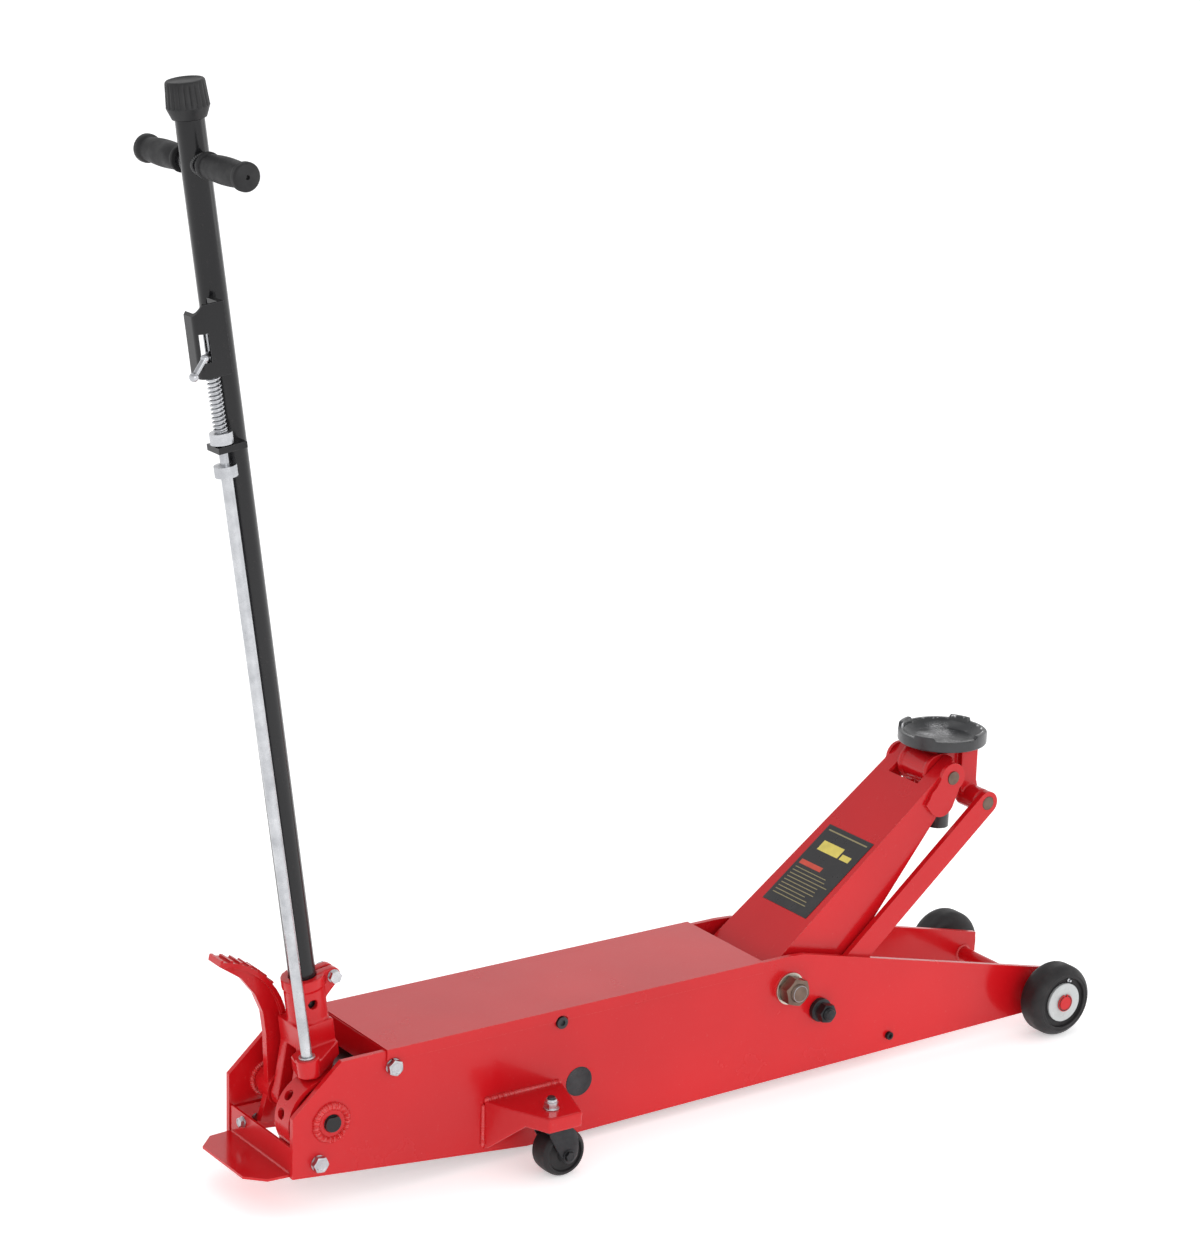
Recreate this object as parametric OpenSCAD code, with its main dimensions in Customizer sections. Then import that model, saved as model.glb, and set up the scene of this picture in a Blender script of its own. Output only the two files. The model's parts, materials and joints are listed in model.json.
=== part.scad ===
// Long-chassis hydraulic service jack, in millimetres.
// +X points forward to the saddle, +Y to the left, +Z up. The origin lies on the floor, under the
// middle of the whole jack. Stations along the chassis are measured forward from the rear end of
// the side plates, and place() moves them into the jack's frame.

/* [Chassis] */
// Width over the side plates
frame_w = 196; // [190:1:204]
// Thickness of a side plate
plate_t = 8; // [8:1:9]
// Length of the side plates
frame_len = 1426; // [1416:1:1436]
// Height of the top edge of the side plates
plate_top = 220; // [218:1:222]
// Station of the cover's rear edge
cover_rear = 154; // [150:1:158]
// Station of the cover's front edge
cover_front = 829; // [820:1:832]
// Thickness of the cover sheet
cover_t = 2.5; // [2:0.5:3]

/* [Wheels] */
// Diameter of a front wheel
wheel_d = 119; // [114:1:120]
// Width of a front wheel
wheel_w = 50; // [46:1:52]
// Diameter of a caster wheel
caster_d = 74; // [70:1:74]

/* [Lift arm] */
// Station of the arm's main pivot
arm_x = 884; // [880:1:888]
// Height of the arm's main pivot
arm_z = 167; // [165:1:169]
// Length of the arm between its two pivots
arm_len = 436; // [430:1:440]
// Angle of the arm above level at rest
arm_angle = 40; // [36:1:44]
// Width of the arm over its side walls, at the main pivot
arm_w = 155; // [152:1:155]
// Sheet thickness of the arm
arm_t = 6; // [5:1:6]

/* [Saddle] */
// Diameter of the saddle over its rim
saddle_d = 143; // [138:1:145]
// Distance of the saddle's centre in front of its hinge pin
saddle_ahead = 32; // [32:0.5:33]

/* [Handle] */
// Lean of the handle behind upright at rest
lean = 8; // [6:1:8]
// Outer diameter of the handle tube
tube_d = 40; // [38:1:40]
// Length of the handle, from the yoke's pivot to the top of the knob
handle_len = 1492; // [1450:1:1500]
// Length of each grip
grip_len = 110; // [100:1:112]

/* [Hidden] */
$fn = 64;

// Colours
paint = "firebrick";
black = [0.12, 0.12, 0.13];
zinc = [0.75, 0.76, 0.78];
phosphate = [0.35, 0.26, 0.22];
steel = [0.45, 0.45, 0.46];
rubber = [0.08, 0.08, 0.08];

// Running clearance on a radius
run = 0.05;

// Chassis
out_y = frame_w / 2;
in_y = out_y - plate_t;
axle_x = 1400;
wheel_r = wheel_d / 2;
axle_r = 11;
wheel_in = 117;
wheel_out = wheel_in + wheel_w;

// Fasteners on the side plates, as station and height
upper_bolt = [165, 194.5];
lower_bolt = [42, 72];
tie_screw = [456, 201];
nose_screw = [1088, 45];
step_bolt = [50, 88];

// Yoke pivot, and the handle measured from it in the handle's own frame
yoke_x = 63;
yoke_z = 130;
shaft_r = 13;
tube_r = tube_d / 2;
tube_ahead = 34;
socket_r = 30;
socket_top = 188;
tube_foot = 105;
bar_up = handle_len - 111;
knob_h = 51;
knob_top_r = 27;
knob_r = 29.5;
grip_in = 33;
grip_out = grip_in + grip_len;

// Arm, rods and saddle bracket
rod_ahead = 60;
rod_below = 47;
tip_x = arm_x + arm_len * cos(arm_angle);
tip_z = arm_z + arm_len * sin(arm_angle);
arm_shaft_r = 20;
rod_pin_r = 12;
link_pin_r = 11;
arm_top_rear = 38.6;
arm_top_front = 18.8;
arm_pitch = atan((arm_top_rear - arm_top_front) / arm_len);
arm_half = arm_w / 2;
tip_half = arm_half - 13.5;
arm_taper = atan((arm_half - tip_half) / arm_len);

// Crank that the ram pushes, measured forward of straight down at rest
crank_r = 78;
crank_swing = 12.5;
crank_x = arm_x + crank_r * sin(crank_swing);
crank_z = arm_z - crank_r * cos(crank_swing);

// Hydraulic unit
ram_z = 98;
trunnion_x = 491;
trunnion_r = 23.2;

// Saddle
saddle_x = tip_x + saddle_ahead;
saddle_z = tip_z + 31.3;
saddle_rim_z = saddle_z + 25.5;

// Casters
caster_x = 392;
caster_y = 172;
caster_trail = 14;
caster_w = 42;
caster_r = caster_d / 2;
bracket_z = 105;

// The jack's frame lies midway between the knob's rear corner and the front wheels' front
rearmost = yoke_x + (tube_ahead - knob_top_r) * cos(lean) - handle_len * sin(lean);
rear_x = -(rearmost + axle_x + wheel_r) / 2;

// ---- Helpers ----------------------------------------------------------------------------------

module place() translate([rear_x, 0, 0]) children();

// Local x forward of the yoke's pivot, local z up the handle
module handle_frame() place() translate([yoke_x, 0, yoke_z]) rotate([0, -lean, 0]) children();

// Local x along the arm from its main pivot, local z square to it
module arm_frame() place() translate([arm_x, 0, arm_z]) rotate([0, -arm_angle, 0]) children();

// Local z up the lock rod from the top of its boss on the yoke
module lock_frame() handle_frame() translate([-8, -65, 94]) rotate([-2.16, 0.72, 0]) children();

// Local origin at the saddle's hinge pin
module tip_frame() place() translate([tip_x, 0, tip_z]) children();

// Outward is +Y inside; side -1 is the right-hand side
module on_side(side) mirror([0, side < 0 ? 1 : 0, 0]) children();

module both_sides() {
    on_side(-1) children();
    on_side(1) children();
}

// A place on the side plates from its station and height
module at(p) translate([p[0], 0, p[1]]) children();

module y_rod(r, y0, y1) translate([0, y0, 0]) rotate([-90, 0, 0]) cylinder(h = y1 - y0, r = r);

module x_rod(r, x0, x1) translate([x0, 0, 0]) rotate([0, 90, 0]) cylinder(h = x1 - x0, r = r);

// A flat outline in X and Z, from y0 to y1
module y_plate(y0, y1) translate([0, y1, 0]) rotate([90, 0, 0]) linear_extrude(y1 - y0) children();

// Hexagon bar along Y, across flats af
module y_hex(af, y0, y1) {
    translate([0, y0, 0]) rotate([-90, 0, 0]) cylinder(h = y1 - y0, r = af / 2 / cos(30), $fn = 6);
}

function on_arc(c, r, a0, a1, n) =
    [for (i = [0:n]) c + r * [cos(a0 + (a1 - a0) * i / n), sin(a0 + (a1 - a0) * i / n)]];

// Round wire wound as an open coil up Z
module coil(r, wire_r, height, turns, steps = 12, sides = 6) {
    rings = turns * steps;
    points = [for (i = [0:rings]) for (j = [0:sides - 1])
        let (a = 360 * i / steps, b = 360 * j / sides)
        [(r + wire_r * cos(b)) * cos(a), (r + wire_r * cos(b)) * sin(a),
         wire_r + (height - 2 * wire_r) * i / rings + wire_r * sin(b)]];
    walls = [for (i = [0:rings - 1]) for (j = [0:sides - 1])
        let (k = (j + 1) % sides)
        [i * sides + j, i * sides + k, (i + 1) * sides + k, (i + 1) * sides + j]];
    start = [for (j = [0:sides - 1]) sides - 1 - j];
    end = [for (j = [0:sides - 1]) rings * sides + j];
    polyhedron(points, concat(walls, [start], [end]));
}

// ---- Chassis ----------------------------------------------------------------------------------

// Plate corners: tail, belly, nose, hump over the pivot, and the slope down to the tail
plate_outline = [
    [0, 55], [400, 14], [frame_len, 24], [frame_len, 92], [911, 218], [880, plate_top],
    [80, plate_top], [0, 148]
];

module side_plate(side) color(paint) place() on_side(side) difference() {
    y_plate(in_y, out_y) polygon(plate_outline);
    translate([yoke_x, 0, yoke_z]) y_rod(22, in_y - 1, out_y + 1);
    translate([trunnion_x, 0, ram_z]) y_rod(trunnion_r + run, in_y - 1, out_y + 1);
    translate([arm_x, 0, arm_z]) y_rod(arm_shaft_r + run, in_y - 1, out_y + 1);
    translate([arm_x + rod_ahead, 0, arm_z - rod_below]) y_rod(rod_pin_r + run, in_y - 1, out_y + 1);
    translate([axle_x, 0, wheel_r]) y_rod(axle_r, in_y - 1, out_y + 1);
    at(lower_bolt) y_rod(7, in_y - 1, out_y + 1);
    at(upper_bolt) y_rod(7, in_y - 1, out_y + 1);
    at(tie_screw) y_rod(6, in_y - 1, out_y + 1);
    at(nose_screw) y_rod(4, in_y - 1, out_y + 1);
}

module side_plate_right() side_plate(-1);
module side_plate_left() side_plate(1);

// Folded sheet that rests on the side plates, its skirts outside them and notched round the heads
module top_cover() color(paint) place() {
    skirt = 16;
    long = cover_front - cover_rear;
    over = out_y + 0.4 + cover_t;
    translate([cover_rear, -over, plate_top]) cube([long, 2 * over, cover_t]);
    both_sides() difference() {
        translate([cover_rear, over - cover_t, plate_top - skirt]) cube([long, cover_t, skirt]);
        at(upper_bolt) y_rod(14.5, out_y, over + 1);
        at(tie_screw) y_rod(11.5, out_y, over + 1);
    }
}

// Folded step: sloping corners on the lip, an upright, and a flange against each side plate
module rear_step() color(paint) place() {
    half = in_y - 0.5;
    lip = [[2, half], [-34, half - 3], [-60, 60], [-60, -60], [-34, 3 - half], [2, -half]];
    translate([0, 0, 56]) linear_extrude(4) polygon(lip);
    difference() {
        translate([2, -half, 56]) cube([4, 2 * half, 44]);
        translate([0, step_bolt[0], step_bolt[1]]) x_rod(5, 0, 10);
    }
    both_sides() difference() {
        translate([6, half - 4, 60]) cube([58, 4, 36]);
        at(lower_bolt) y_rod(7, half - 6, half + 1);
    }
}

module cross_members() color(paint) place() {
    difference() {
        translate([154, -in_y, 178]) cube([24, 2 * in_y, plate_top - 178]);
        at(upper_bolt) both_sides() y_rod(7, in_y - 20, in_y + 1);
    }
    at(tie_screw) difference() {
        y_rod(11, -in_y, in_y);
        both_sides() y_rod(6, in_y - 22, in_y + 1);
    }
    at(nose_screw) difference() {
        y_rod(8, -in_y, in_y);
        both_sides() y_rod(4, in_y - 22, in_y + 1);
    }
}

// Corners of a caster bracket's top plate, as station and distance outward
bracket_rear = 321;
bracket_tip_rear = 367;
bracket_tip_front = 425;
bracket_front = 459;
bracket_out = 206;

module caster_bracket(side) color(paint) place() on_side(side) {
    run_in = bracket_tip_rear - bracket_rear;
    reach = bracket_out - out_y;
    edge = sqrt(run_in * run_in + reach * reach);
    below = [[-20, 0], [0, 28], [8, 30], [75, 82], [edge + 20, 82], [edge + 20, 0]];
    difference() {
        union() {
            translate([0, 0, bracket_z - 6]) linear_extrude(6) polygon([
                [bracket_rear, out_y], [bracket_front, out_y],
                [bracket_tip_front, bracket_out], [bracket_tip_rear, bracket_out]]);
            translate([bracket_tip_rear, bracket_out - 5, 82])
                cube([bracket_tip_front - bracket_tip_rear, 5, bracket_z - 84]);
            difference() {
                linear_extrude(bracket_z - 2) polygon([
                    [bracket_rear, out_y], [bracket_rear + 7, out_y],
                    [bracket_tip_rear + 7, bracket_out], [bracket_tip_rear, bracket_out]]);
                translate([bracket_rear, out_y, 0]) rotate([0, 0, atan2(reach, run_in)])
                    y_plate(-20, 20) polygon(below);
            }
        }
        translate([caster_x, caster_y, 0]) cylinder(h = 200, r = 6 + run);
    }
}

module caster_bracket_right() caster_bracket(-1);
module caster_bracket_left() caster_bracket(1);

module front_axle() color(paint) place() translate([axle_x, 0, wheel_r]) {
    y_rod(axle_r, -wheel_out - 3, wheel_out + 3);
    both_sides() {
        difference() {
            y_rod(17, out_y, wheel_in - 0.5);
            y_rod(axle_r, out_y - 1, wheel_in);
        }
        difference() {
            y_rod(14.5, wheel_out + 0.5, wheel_out + 2);
            y_rod(axle_r, wheel_out, wheel_out + 3);
            translate([-2.5, wheel_out, 6]) cube([5, 4, 20]);
        }
    }
}

module yoke_bosses() color(paint) place() translate([yoke_x, 0, yoke_z]) {
    difference() {
        y_rod(22, -out_y - 3.5, -84);
        y_rod(shaft_r, -out_y - 5, -80);
    }
    difference() {
        y_rod(22, 72, out_y + 3.5);
        y_rod(shaft_r, 70, out_y + 5);
    }
}

// Round shaft with a flatted end at each side
module yoke_shaft() color(black) place() translate([yoke_x, 0, yoke_z]) {
    y_rod(shaft_r, -out_y - 3, out_y + 3);
    both_sides() intersection() {
        y_rod(shaft_r - 0.5, out_y + 3, out_y + 8);
        translate([-20, out_y, -20]) cube([40, 20, 30]);
    }
}

// Part of a drum, with radial holes that the lock rod's tip drops towards
module index_quadrant() color(paint) place() translate([yoke_x, -65, yoke_z]) {
    rim = 62;
    half = 19;
    difference() {
        y_rod(rim, -half, 21);
        difference() {
            y_rod(rim - 7, -half - 1, 15);
            y_rod(20, -half - 2, 16);
        }
        y_rod(shaft_r, -half - 1, 22);
        y_plate(-half - 1, 22) polygon([
            [0, 0], 90 * [cos(65), sin(65)], [90, 60], [90, -90], 90 * [cos(215), sin(215)]]);
        for (a = [141, 168])
            translate([0, 5, 0]) rotate([0, 90 - a, 0]) cylinder(h = rim + 5, r = 8.6);
    }
    translate([7.5 - rim, -half, -62]) cube([7, half + 21, 34]);
    difference() {
        y_rod(22, -half, 21);
        y_rod(shaft_r, -half - 1, 22);
    }
}

module arm_pivot_shaft() color(steel) place() translate([arm_x, 0, arm_z]) {
    y_rod(arm_shaft_r, -out_y, out_y);
    both_sides() {
        y_rod(13.5, out_y, out_y + 29);
        difference() {
            y_rod(27, arm_half + 1.5, in_y - 0.5);
            y_rod(arm_shaft_r, arm_half, in_y);
        }
    }
}

module arm_pivot_nuts() color(phosphate) place() translate([arm_x, 0, arm_z]) both_sides()
    difference() {
        y_hex(41, out_y + 3, out_y + 24);
        y_rod(13.5, out_y, out_y + 30);
    }

module arm_pivot_washers() color([0.8, 0.78, 0.72]) place() translate([arm_x, 0, arm_z])
    both_sides() difference() {
        y_rod(26, out_y, out_y + 3);
        y_rod(13.5, out_y - 1, out_y + 4);
    }

module rod_pivot_bolts() color(black) place()
    translate([arm_x + rod_ahead, 0, arm_z - rod_below]) both_sides() {
        y_rod(rod_pin_r, arm_half + 1.6, out_y);
        y_rod(19, out_y, out_y + 9);
        y_rod(14, out_y + 9, out_y + 12);
        y_hex(27, out_y + 12, out_y + 26);
        y_rod(9, out_y + 26, out_y + 32);
    }

// ---- Hydraulic unit ---------------------------------------------------------------------------

pump_front = 225;
cylinder_front = 730;
barrel_r = 38;
bore_r = 30;
ram_r = 20;
roller_r = 11;
plunger_r = 11;
plunger_z = 92;
pedal_plunger_r = 8;
pedal_plunger_y = 52;
pedal_plunger_z = 95;
spring_foot = trunnion_x + 36.2;

module trunnion_block() color(steel) place() difference() {
    union() {
        translate([trunnion_x - 36, -60, 45]) cube([72, 120, 106]);
        translate([trunnion_x, 0, ram_z]) y_rod(trunnion_r, -out_y - 0.8, out_y + 0.8);
    }
    translate([0, 0, ram_z]) x_rod(barrel_r, trunnion_x - 40, trunnion_x + 40);
}

module pump_block() color(steel) place() difference() {
    translate([128, -64, 60]) cube([pump_front - 128, 128, 106]);
    translate([0, 0, plunger_z]) {
        x_rod(17.5, 120, 175);
        x_rod(plunger_r + run, 170, 220);
    }
    translate([0, pedal_plunger_y, pedal_plunger_z]) x_rod(pedal_plunger_r + run, 120, 205);
    translate([0, 0, 148]) x_rod(6 + run, 120, 180);
}

module reservoir() color(steel) place() translate([0, 0, ram_z]) difference() {
    x_rod(60, pump_front, 448);
    x_rod(barrel_r, pump_front - 1, 450);
    difference() {
        x_rod(56, pump_front + 4, 444);
        x_rod(barrel_r + 3, pump_front, 450);
    }
}

module cylinder_barrel() color(steel) place() translate([0, 0, ram_z]) difference() {
    union() {
        x_rod(barrel_r, pump_front, cylinder_front);
        x_rod(44, cylinder_front - 30, cylinder_front);
    }
    x_rod(bore_r + run, pump_front + 12, cylinder_front - 30);
    x_rod(ram_r + run, cylinder_front - 31, cylinder_front + 1);
}

module ram() color([0.7, 0.7, 0.72]) place() translate([0, 0, ram_z]) {
    x_rod(bore_r, 400, 432);
    x_rod(ram_r, 432, crank_x - 34);
}

// Block that the crank pin works in, with an upright slot, and a bar for the return springs
module ram_clevis() color(steel) place() {
    slack = 1.6;
    slot = link_pin_r + slack;
    low = arm_z - crank_r;
    high = low + 12.5;
    difference() {
        union() {
            translate([crank_x - 34, -22, 66]) cube([64, 44, 58]);
            translate([crank_x - 42, 0, ram_z]) y_rod(6, -70, 70);
        }
        translate([crank_x, 0, low]) y_rod(slot, -23, 23);
        translate([crank_x, 0, high]) y_rod(slot, -23, 23);
        translate([crank_x - slot, -23, low]) cube([2 * slot, 46, high - low]);
        translate([0, 0, ram_z]) x_rod(ram_r, crank_x - 60, crank_x - 34);
    }
}

module return_springs() color(zinc) place() both_sides() translate([spring_foot, 60, ram_z])
    rotate([0, 90, 0]) coil(7, 1.6, crank_x - 48.4 - spring_foot, 30, 7, 4);

module valve_spindle() color(steel) place() translate([0, 0, 148]) {
    x_rod(6, 108, 170);
    x_rod(9.5, 96, 108);
}

module pump_plunger() color([0.7, 0.7, 0.72]) place() translate([0, 0, plunger_z]) {
    x_rod(12, 60.4, 66);
    x_rod(plunger_r, 66, 178);
    x_rod(16.5, 100, 104);
}

module pump_spring() color(zinc) place() translate([104.2, 0, plunger_z]) rotate([0, 90, 0])
    coil(14, 1.3, 70.5, 8);

module pedal_plunger() color([0.7, 0.7, 0.72]) place()
    translate([0, pedal_plunger_y, pedal_plunger_z]) {
        x_rod(pedal_plunger_r, 66.4, 180);
        x_rod(10, 84, 88);
    }

// ---- Fasteners --------------------------------------------------------------------------------

// Bolt, washer and head outside a side plate, reaching inward past the plate
module hex_bolt(reach) {
    y_rod(7, in_y - reach, out_y);
    y_rod(12, out_y, out_y + 2);
    y_hex(22, out_y + 2, out_y + 11);
}

module hex_bolts() color(zinc) place() {
    both_sides() {
        at(lower_bolt) hex_bolt(8);
        at(upper_bolt) hex_bolt(20);
    }
    both_sides() translate([caster_x, caster_y, bracket_z]) {
        difference() {
            cylinder(h = 2.5, r = 12);
            translate([0, 0, -1]) cylinder(h = 5, r = 6 + run);
        }
        difference() {
            translate([0, 0, 2.5]) cylinder(h = 12, r = 9.5 / cos(30), $fn = 6);
            cylinder(h = 20, r = 6 + run);
        }
    }
    translate([0, step_bolt[0], step_bolt[1]]) {
        x_rod(5, -8, 12);
        rotate([0, -90, 0]) translate([0, 0, -2]) cylinder(h = 8, r = 8 / cos(30), $fn = 6);
    }
}

module socket_screws() color(black) place() both_sides() {
    at(tie_screw) {
        y_rod(6, in_y - 20, out_y);
        difference() {
            y_rod(9.5, out_y, out_y + 5);
            y_hex(8, out_y + 2, out_y + 6);
        }
    }
    at(nose_screw) {
        y_rod(4, in_y - 20, out_y);
        difference() {
            y_rod(6.5, out_y, out_y + 6);
            y_hex(6, out_y + 3, out_y + 7);
        }
    }
}

// ---- Lift arm ---------------------------------------------------------------------------------

notch_half = 37;
notch_start = 394;
lobe_at = [397, -13];
lobe_r = 26;
tip_r = 24;

function arm_top(s) = arm_top_rear + (arm_top_front - arm_top_rear) * s / arm_len;
function arm_belly(s) = -95 + 0.173 * s;

// Side wall: round behind the main pivot, deep at the root and shallow at the tip
wall_outline = concat(
    [[-36, arm_top(-36)], [arm_len + 20, arm_top(arm_len + 20)]],
    on_arc([arm_len, 0], tip_r - 1, 20, -75, 6),
    [[arm_len - 10, arm_belly(arm_len - 10)], [110, arm_belly(110)], [60, -70]],
    on_arc([0, 0], 56, -95, -205, 8));

module arm_wall() translate([0, arm_half, 0]) rotate([0, 0, -arm_taper])
    y_plate(-arm_t, 0) polygon(wall_outline);

// Doubling plate outside the wall, around the saddle's hinge pin
module arm_lobe() translate([0, arm_half, 0]) rotate([0, 0, -arm_taper]) {
    translate([arm_len, 0, 0]) y_rod(tip_r, 0, arm_t);
    translate([lobe_at[0], 0, lobe_at[1]]) y_rod(lobe_r, 0, arm_t);
    y_plate(0, arm_t) polygon([
        [lobe_at[0] - lobe_r, 6], [arm_len - 8, 18], [arm_len + 12, 18], [arm_len + 20, 11],
        [arm_len + 19, -14],
        [lobe_at[0] + 14, lobe_at[1] - 22], [lobe_at[0] - lobe_r, lobe_at[1]]]);
}

module lift_arm() color(paint) arm_frame() difference() {
    union() {
        both_sides() arm_wall();
        both_sides() arm_lobe();
        translate([0, 0, arm_top_rear]) rotate([0, arm_pitch, 0]) translate([0, 0, -arm_t])
            linear_extrude(arm_t) polygon([
                [-37, arm_half], [arm_len + 16, tip_half], [arm_len + 26, tip_half - 12],
                [arm_len + 26, 12 - tip_half], [arm_len + 16, -tip_half], [-37, -arm_half]]);
    }
    translate([notch_start, -notch_half, 0]) cube([90, 2 * notch_half, 60]);
    y_rod(30, -arm_half - 10, arm_half + 10);
    translate([arm_len, 0, 0]) y_rod(link_pin_r, -arm_half, arm_half);
}

module arm_pivot_tube() color(steel) arm_frame() difference() {
    y_rod(30, 0.3 - arm_half, arm_half - 0.3);
    y_rod(arm_shaft_r + run, -arm_half, arm_half);
}

module arm_crank() color(paint) arm_frame() {
    a = -90 + crank_swing - arm_angle;
    pin = crank_r * [cos(a), sin(a)];
    side = [-sin(a), cos(a)];
    both_sides() difference() {
        union() {
            y_rod(32, 24, 36);
            translate([pin[0], 0, pin[1]]) y_rod(20, 24, 36);
            y_plate(24, 36) polygon([
                31 * side, pin + 19.5 * side, pin - 19.5 * side, -31 * side]);
        }
        y_rod(30, 20, 40);
        translate([pin[0], 0, pin[1]]) y_rod(link_pin_r, 20, 40);
    }
    translate([pin[0], 0, pin[1]]) y_rod(link_pin_r, -40, 40);
}

module label_plate() color(black) arm_frame()
    translate([0, 0, arm_top_rear]) rotate([0, arm_pitch, 0])
    translate([102, -60, 0]) cube([164, 112, 0.8]);

module saddle_hinge_pin() color(phosphate) arm_frame() translate([arm_len, 0, 0])
    y_rod(link_pin_r, -tip_half - arm_t - 2, tip_half + arm_t + 2);

// ---- Saddle bracket, saddle and radius rods ----------------------------------------------------

module saddle_bracket() color(paint) tip_frame() difference() {
    union() {
        y_rod(27, -35, 35);
        both_sides() y_rod(30, 28, 35);
        translate([0, -35, -26]) cube([71, 70, 56]);
        translate([8, -35, -50]) cube([42, 70, 26]);
        translate([38, -45, -26]) cube([33, 90, 56]);
        translate([saddle_ahead, 0, -60]) cylinder(h = 60, r = 21);
        both_sides() {
            y_plate(29, 45) polygon([[38, -20], [71, -20], [79, -50], [44, -55]]);
            translate([rod_ahead, 0, -rod_below]) y_rod(19, 29, 45);
            translate([rod_ahead, 0, -rod_below]) y_rod(19, 45, 74);
            translate([rod_ahead, 0, -rod_below]) y_rod(16, 74, arm_half + 1);
        }
    }
    y_rod(link_pin_r + run, -36, 36);
    both_sides() translate([rod_ahead, 0, -rod_below]) y_rod(link_pin_r, 28, 80);
    translate([saddle_ahead, 0, -61]) cylinder(h = 100, r = 13 + run);
}

module link_pins() color(phosphate) tip_frame() both_sides()
    translate([rod_ahead, 0, -rod_below]) y_rod(link_pin_r, 29, in_y - 0.6);

// Dish with four lugs on its rim
module saddle() color(black) place() translate([saddle_x, 0, saddle_z]) difference() {
    rim = saddle_d / 2;
    union() {
        rotate_extrude($fn = 96) polygon([
            [0, 0], [24, 0], [rim - 5, 7.5], [rim - 1, 8.5], [rim, 9.5], [rim, 24.5],
            [rim - 1, 25.5], [rim - 5, 25.5], [rim - 11, 17], [rim - 20, 13], [0, 13]]);
        for (a = [26:90:296]) rotate([0, 0, a]) intersection() {
            difference() {
                cylinder(h = 31, r = rim + 0.5, $fn = 96);
                cylinder(h = 40, r = rim - 8, $fn = 96);
            }
            translate([rim - 15, -18, 16]) cube([30, 36, 20]);
        }
    }
    translate([0, 0, -1]) cylinder(h = 9, r = 13);
}

module saddle_post() color(black) place() translate([saddle_x, 0, 0]) {
    translate([0, 0, tip_z - 70]) cylinder(h = saddle_z + 78 - tip_z, r = 13);
    translate([0, 0, tip_z - 106]) cylinder(h = 38, r = 18);
    translate([0, 0, tip_z - 68]) cylinder(h = 7, r = 21);
}

module radius_rod(side) color(paint) place() on_side(side)
    translate([arm_x + rod_ahead, 0, arm_z - rod_below]) rotate([0, -arm_angle, 0]) difference() {
        union() {
            y_rod(19, arm_half + 1.5, in_y - 1);
            translate([0, arm_half + 1.5, -19]) cube([arm_len, in_y - arm_half - 2.5, 38]);
            translate([arm_len, 0, 0]) y_rod(19, arm_half + 1.5, in_y - 1);
        }
        y_rod(rod_pin_r + run, arm_half, in_y);
        translate([arm_len, 0, 0]) y_rod(link_pin_r + 0.3, arm_half, in_y);
    }

module radius_rod_right() radius_rod(-1);
module radius_rod_left() radius_rod(1);

// ---- Handle -----------------------------------------------------------------------------------

tail_r = 42;
tail_swing = -28;
tail = tail_r * [sin(tail_swing), -cos(tail_swing)];
boss_foot = -27;
clamp_at = [76, 177];

module handle_yoke() color(paint) difference() {
    union() {
        handle_frame() {
            translate([tube_ahead, 0, 110]) cylinder(h = socket_top - 110, r = socket_r);
            translate([tube_ahead, 0, socket_top - 16]) cylinder(h = 16, r = socket_r + 2);
            translate([2, -33, 84]) cube([56, 66, 38]);
            translate([clamp_at[0], 0, clamp_at[1]]) y_rod(12, -15, 15);
            y_plate(-15, 15) polygon([
                [50, 140], [clamp_at[0] + 9, clamp_at[1] - 9], [clamp_at[0], clamp_at[1] + 12],
                [50, clamp_at[1] + 12]]);
            both_sides() {
                y_rod(24, 14.5, 36);
                y_plate(14.5, 33) polygon([[-23, 6], [2, 85], [58, 85], [58, 72], [23, -6]]);
                y_plate(14.5, 24) polygon([[-20, 0], tail - [11, 0], tail + [10, -6], [18, -12]]);
                translate([tail[0], 0, tail[1]]) y_rod(11, 14.5, 24);
            }
            translate([0, 0, 65]) linear_extrude(22) polygon([
                [-16, -30], [-25, -64], [-8, -82], [3, -78], [58, -38], [58, -20], [2, -20]]);
        }
        lock_frame() translate([0, 0, boss_foot]) cylinder(h = -boss_foot, r = 17);
    }
    handle_frame() {
        translate([tube_ahead, 0, tube_foot]) cylinder(h = 100, r = tube_r);
        translate([tube_ahead, 0, 60]) cylinder(h = 50, r = 9);
        y_rod(shaft_r + run, -40, 40);
        translate([tail[0], 0, tail[1]]) y_rod(5, -30, 30);
        translate([50, -2, 150]) cube([60, 4, 60]);
        translate([clamp_at[0], 0, clamp_at[1]]) y_rod(5.5, -20, 20);
        translate([tube_ahead - 3, -60, 151]) rotate([-90, 0, 0]) cylinder(h = 60, r = 7);
    }
    lock_frame() translate([0, 0, boss_foot - 20]) cylinder(h = 60, r = 8 + run);
}

module handle_tube() color(black) handle_frame() translate([tube_ahead, 0, tube_foot]) {
    long = handle_len - knob_h - 1 - tube_foot;
    difference() {
        cylinder(h = long, r = tube_r);
        translate([0, 0, -1]) cylinder(h = long + 2, r = tube_r - 4);
    }
}

module cross_bar() color(black) handle_frame() translate([tube_ahead, 0, bar_up]) difference() {
    both_sides() y_rod(12.5, 5, grip_out - 4);
    translate([0, 0, -30]) cylinder(h = 60, r = tube_r);
}

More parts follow.
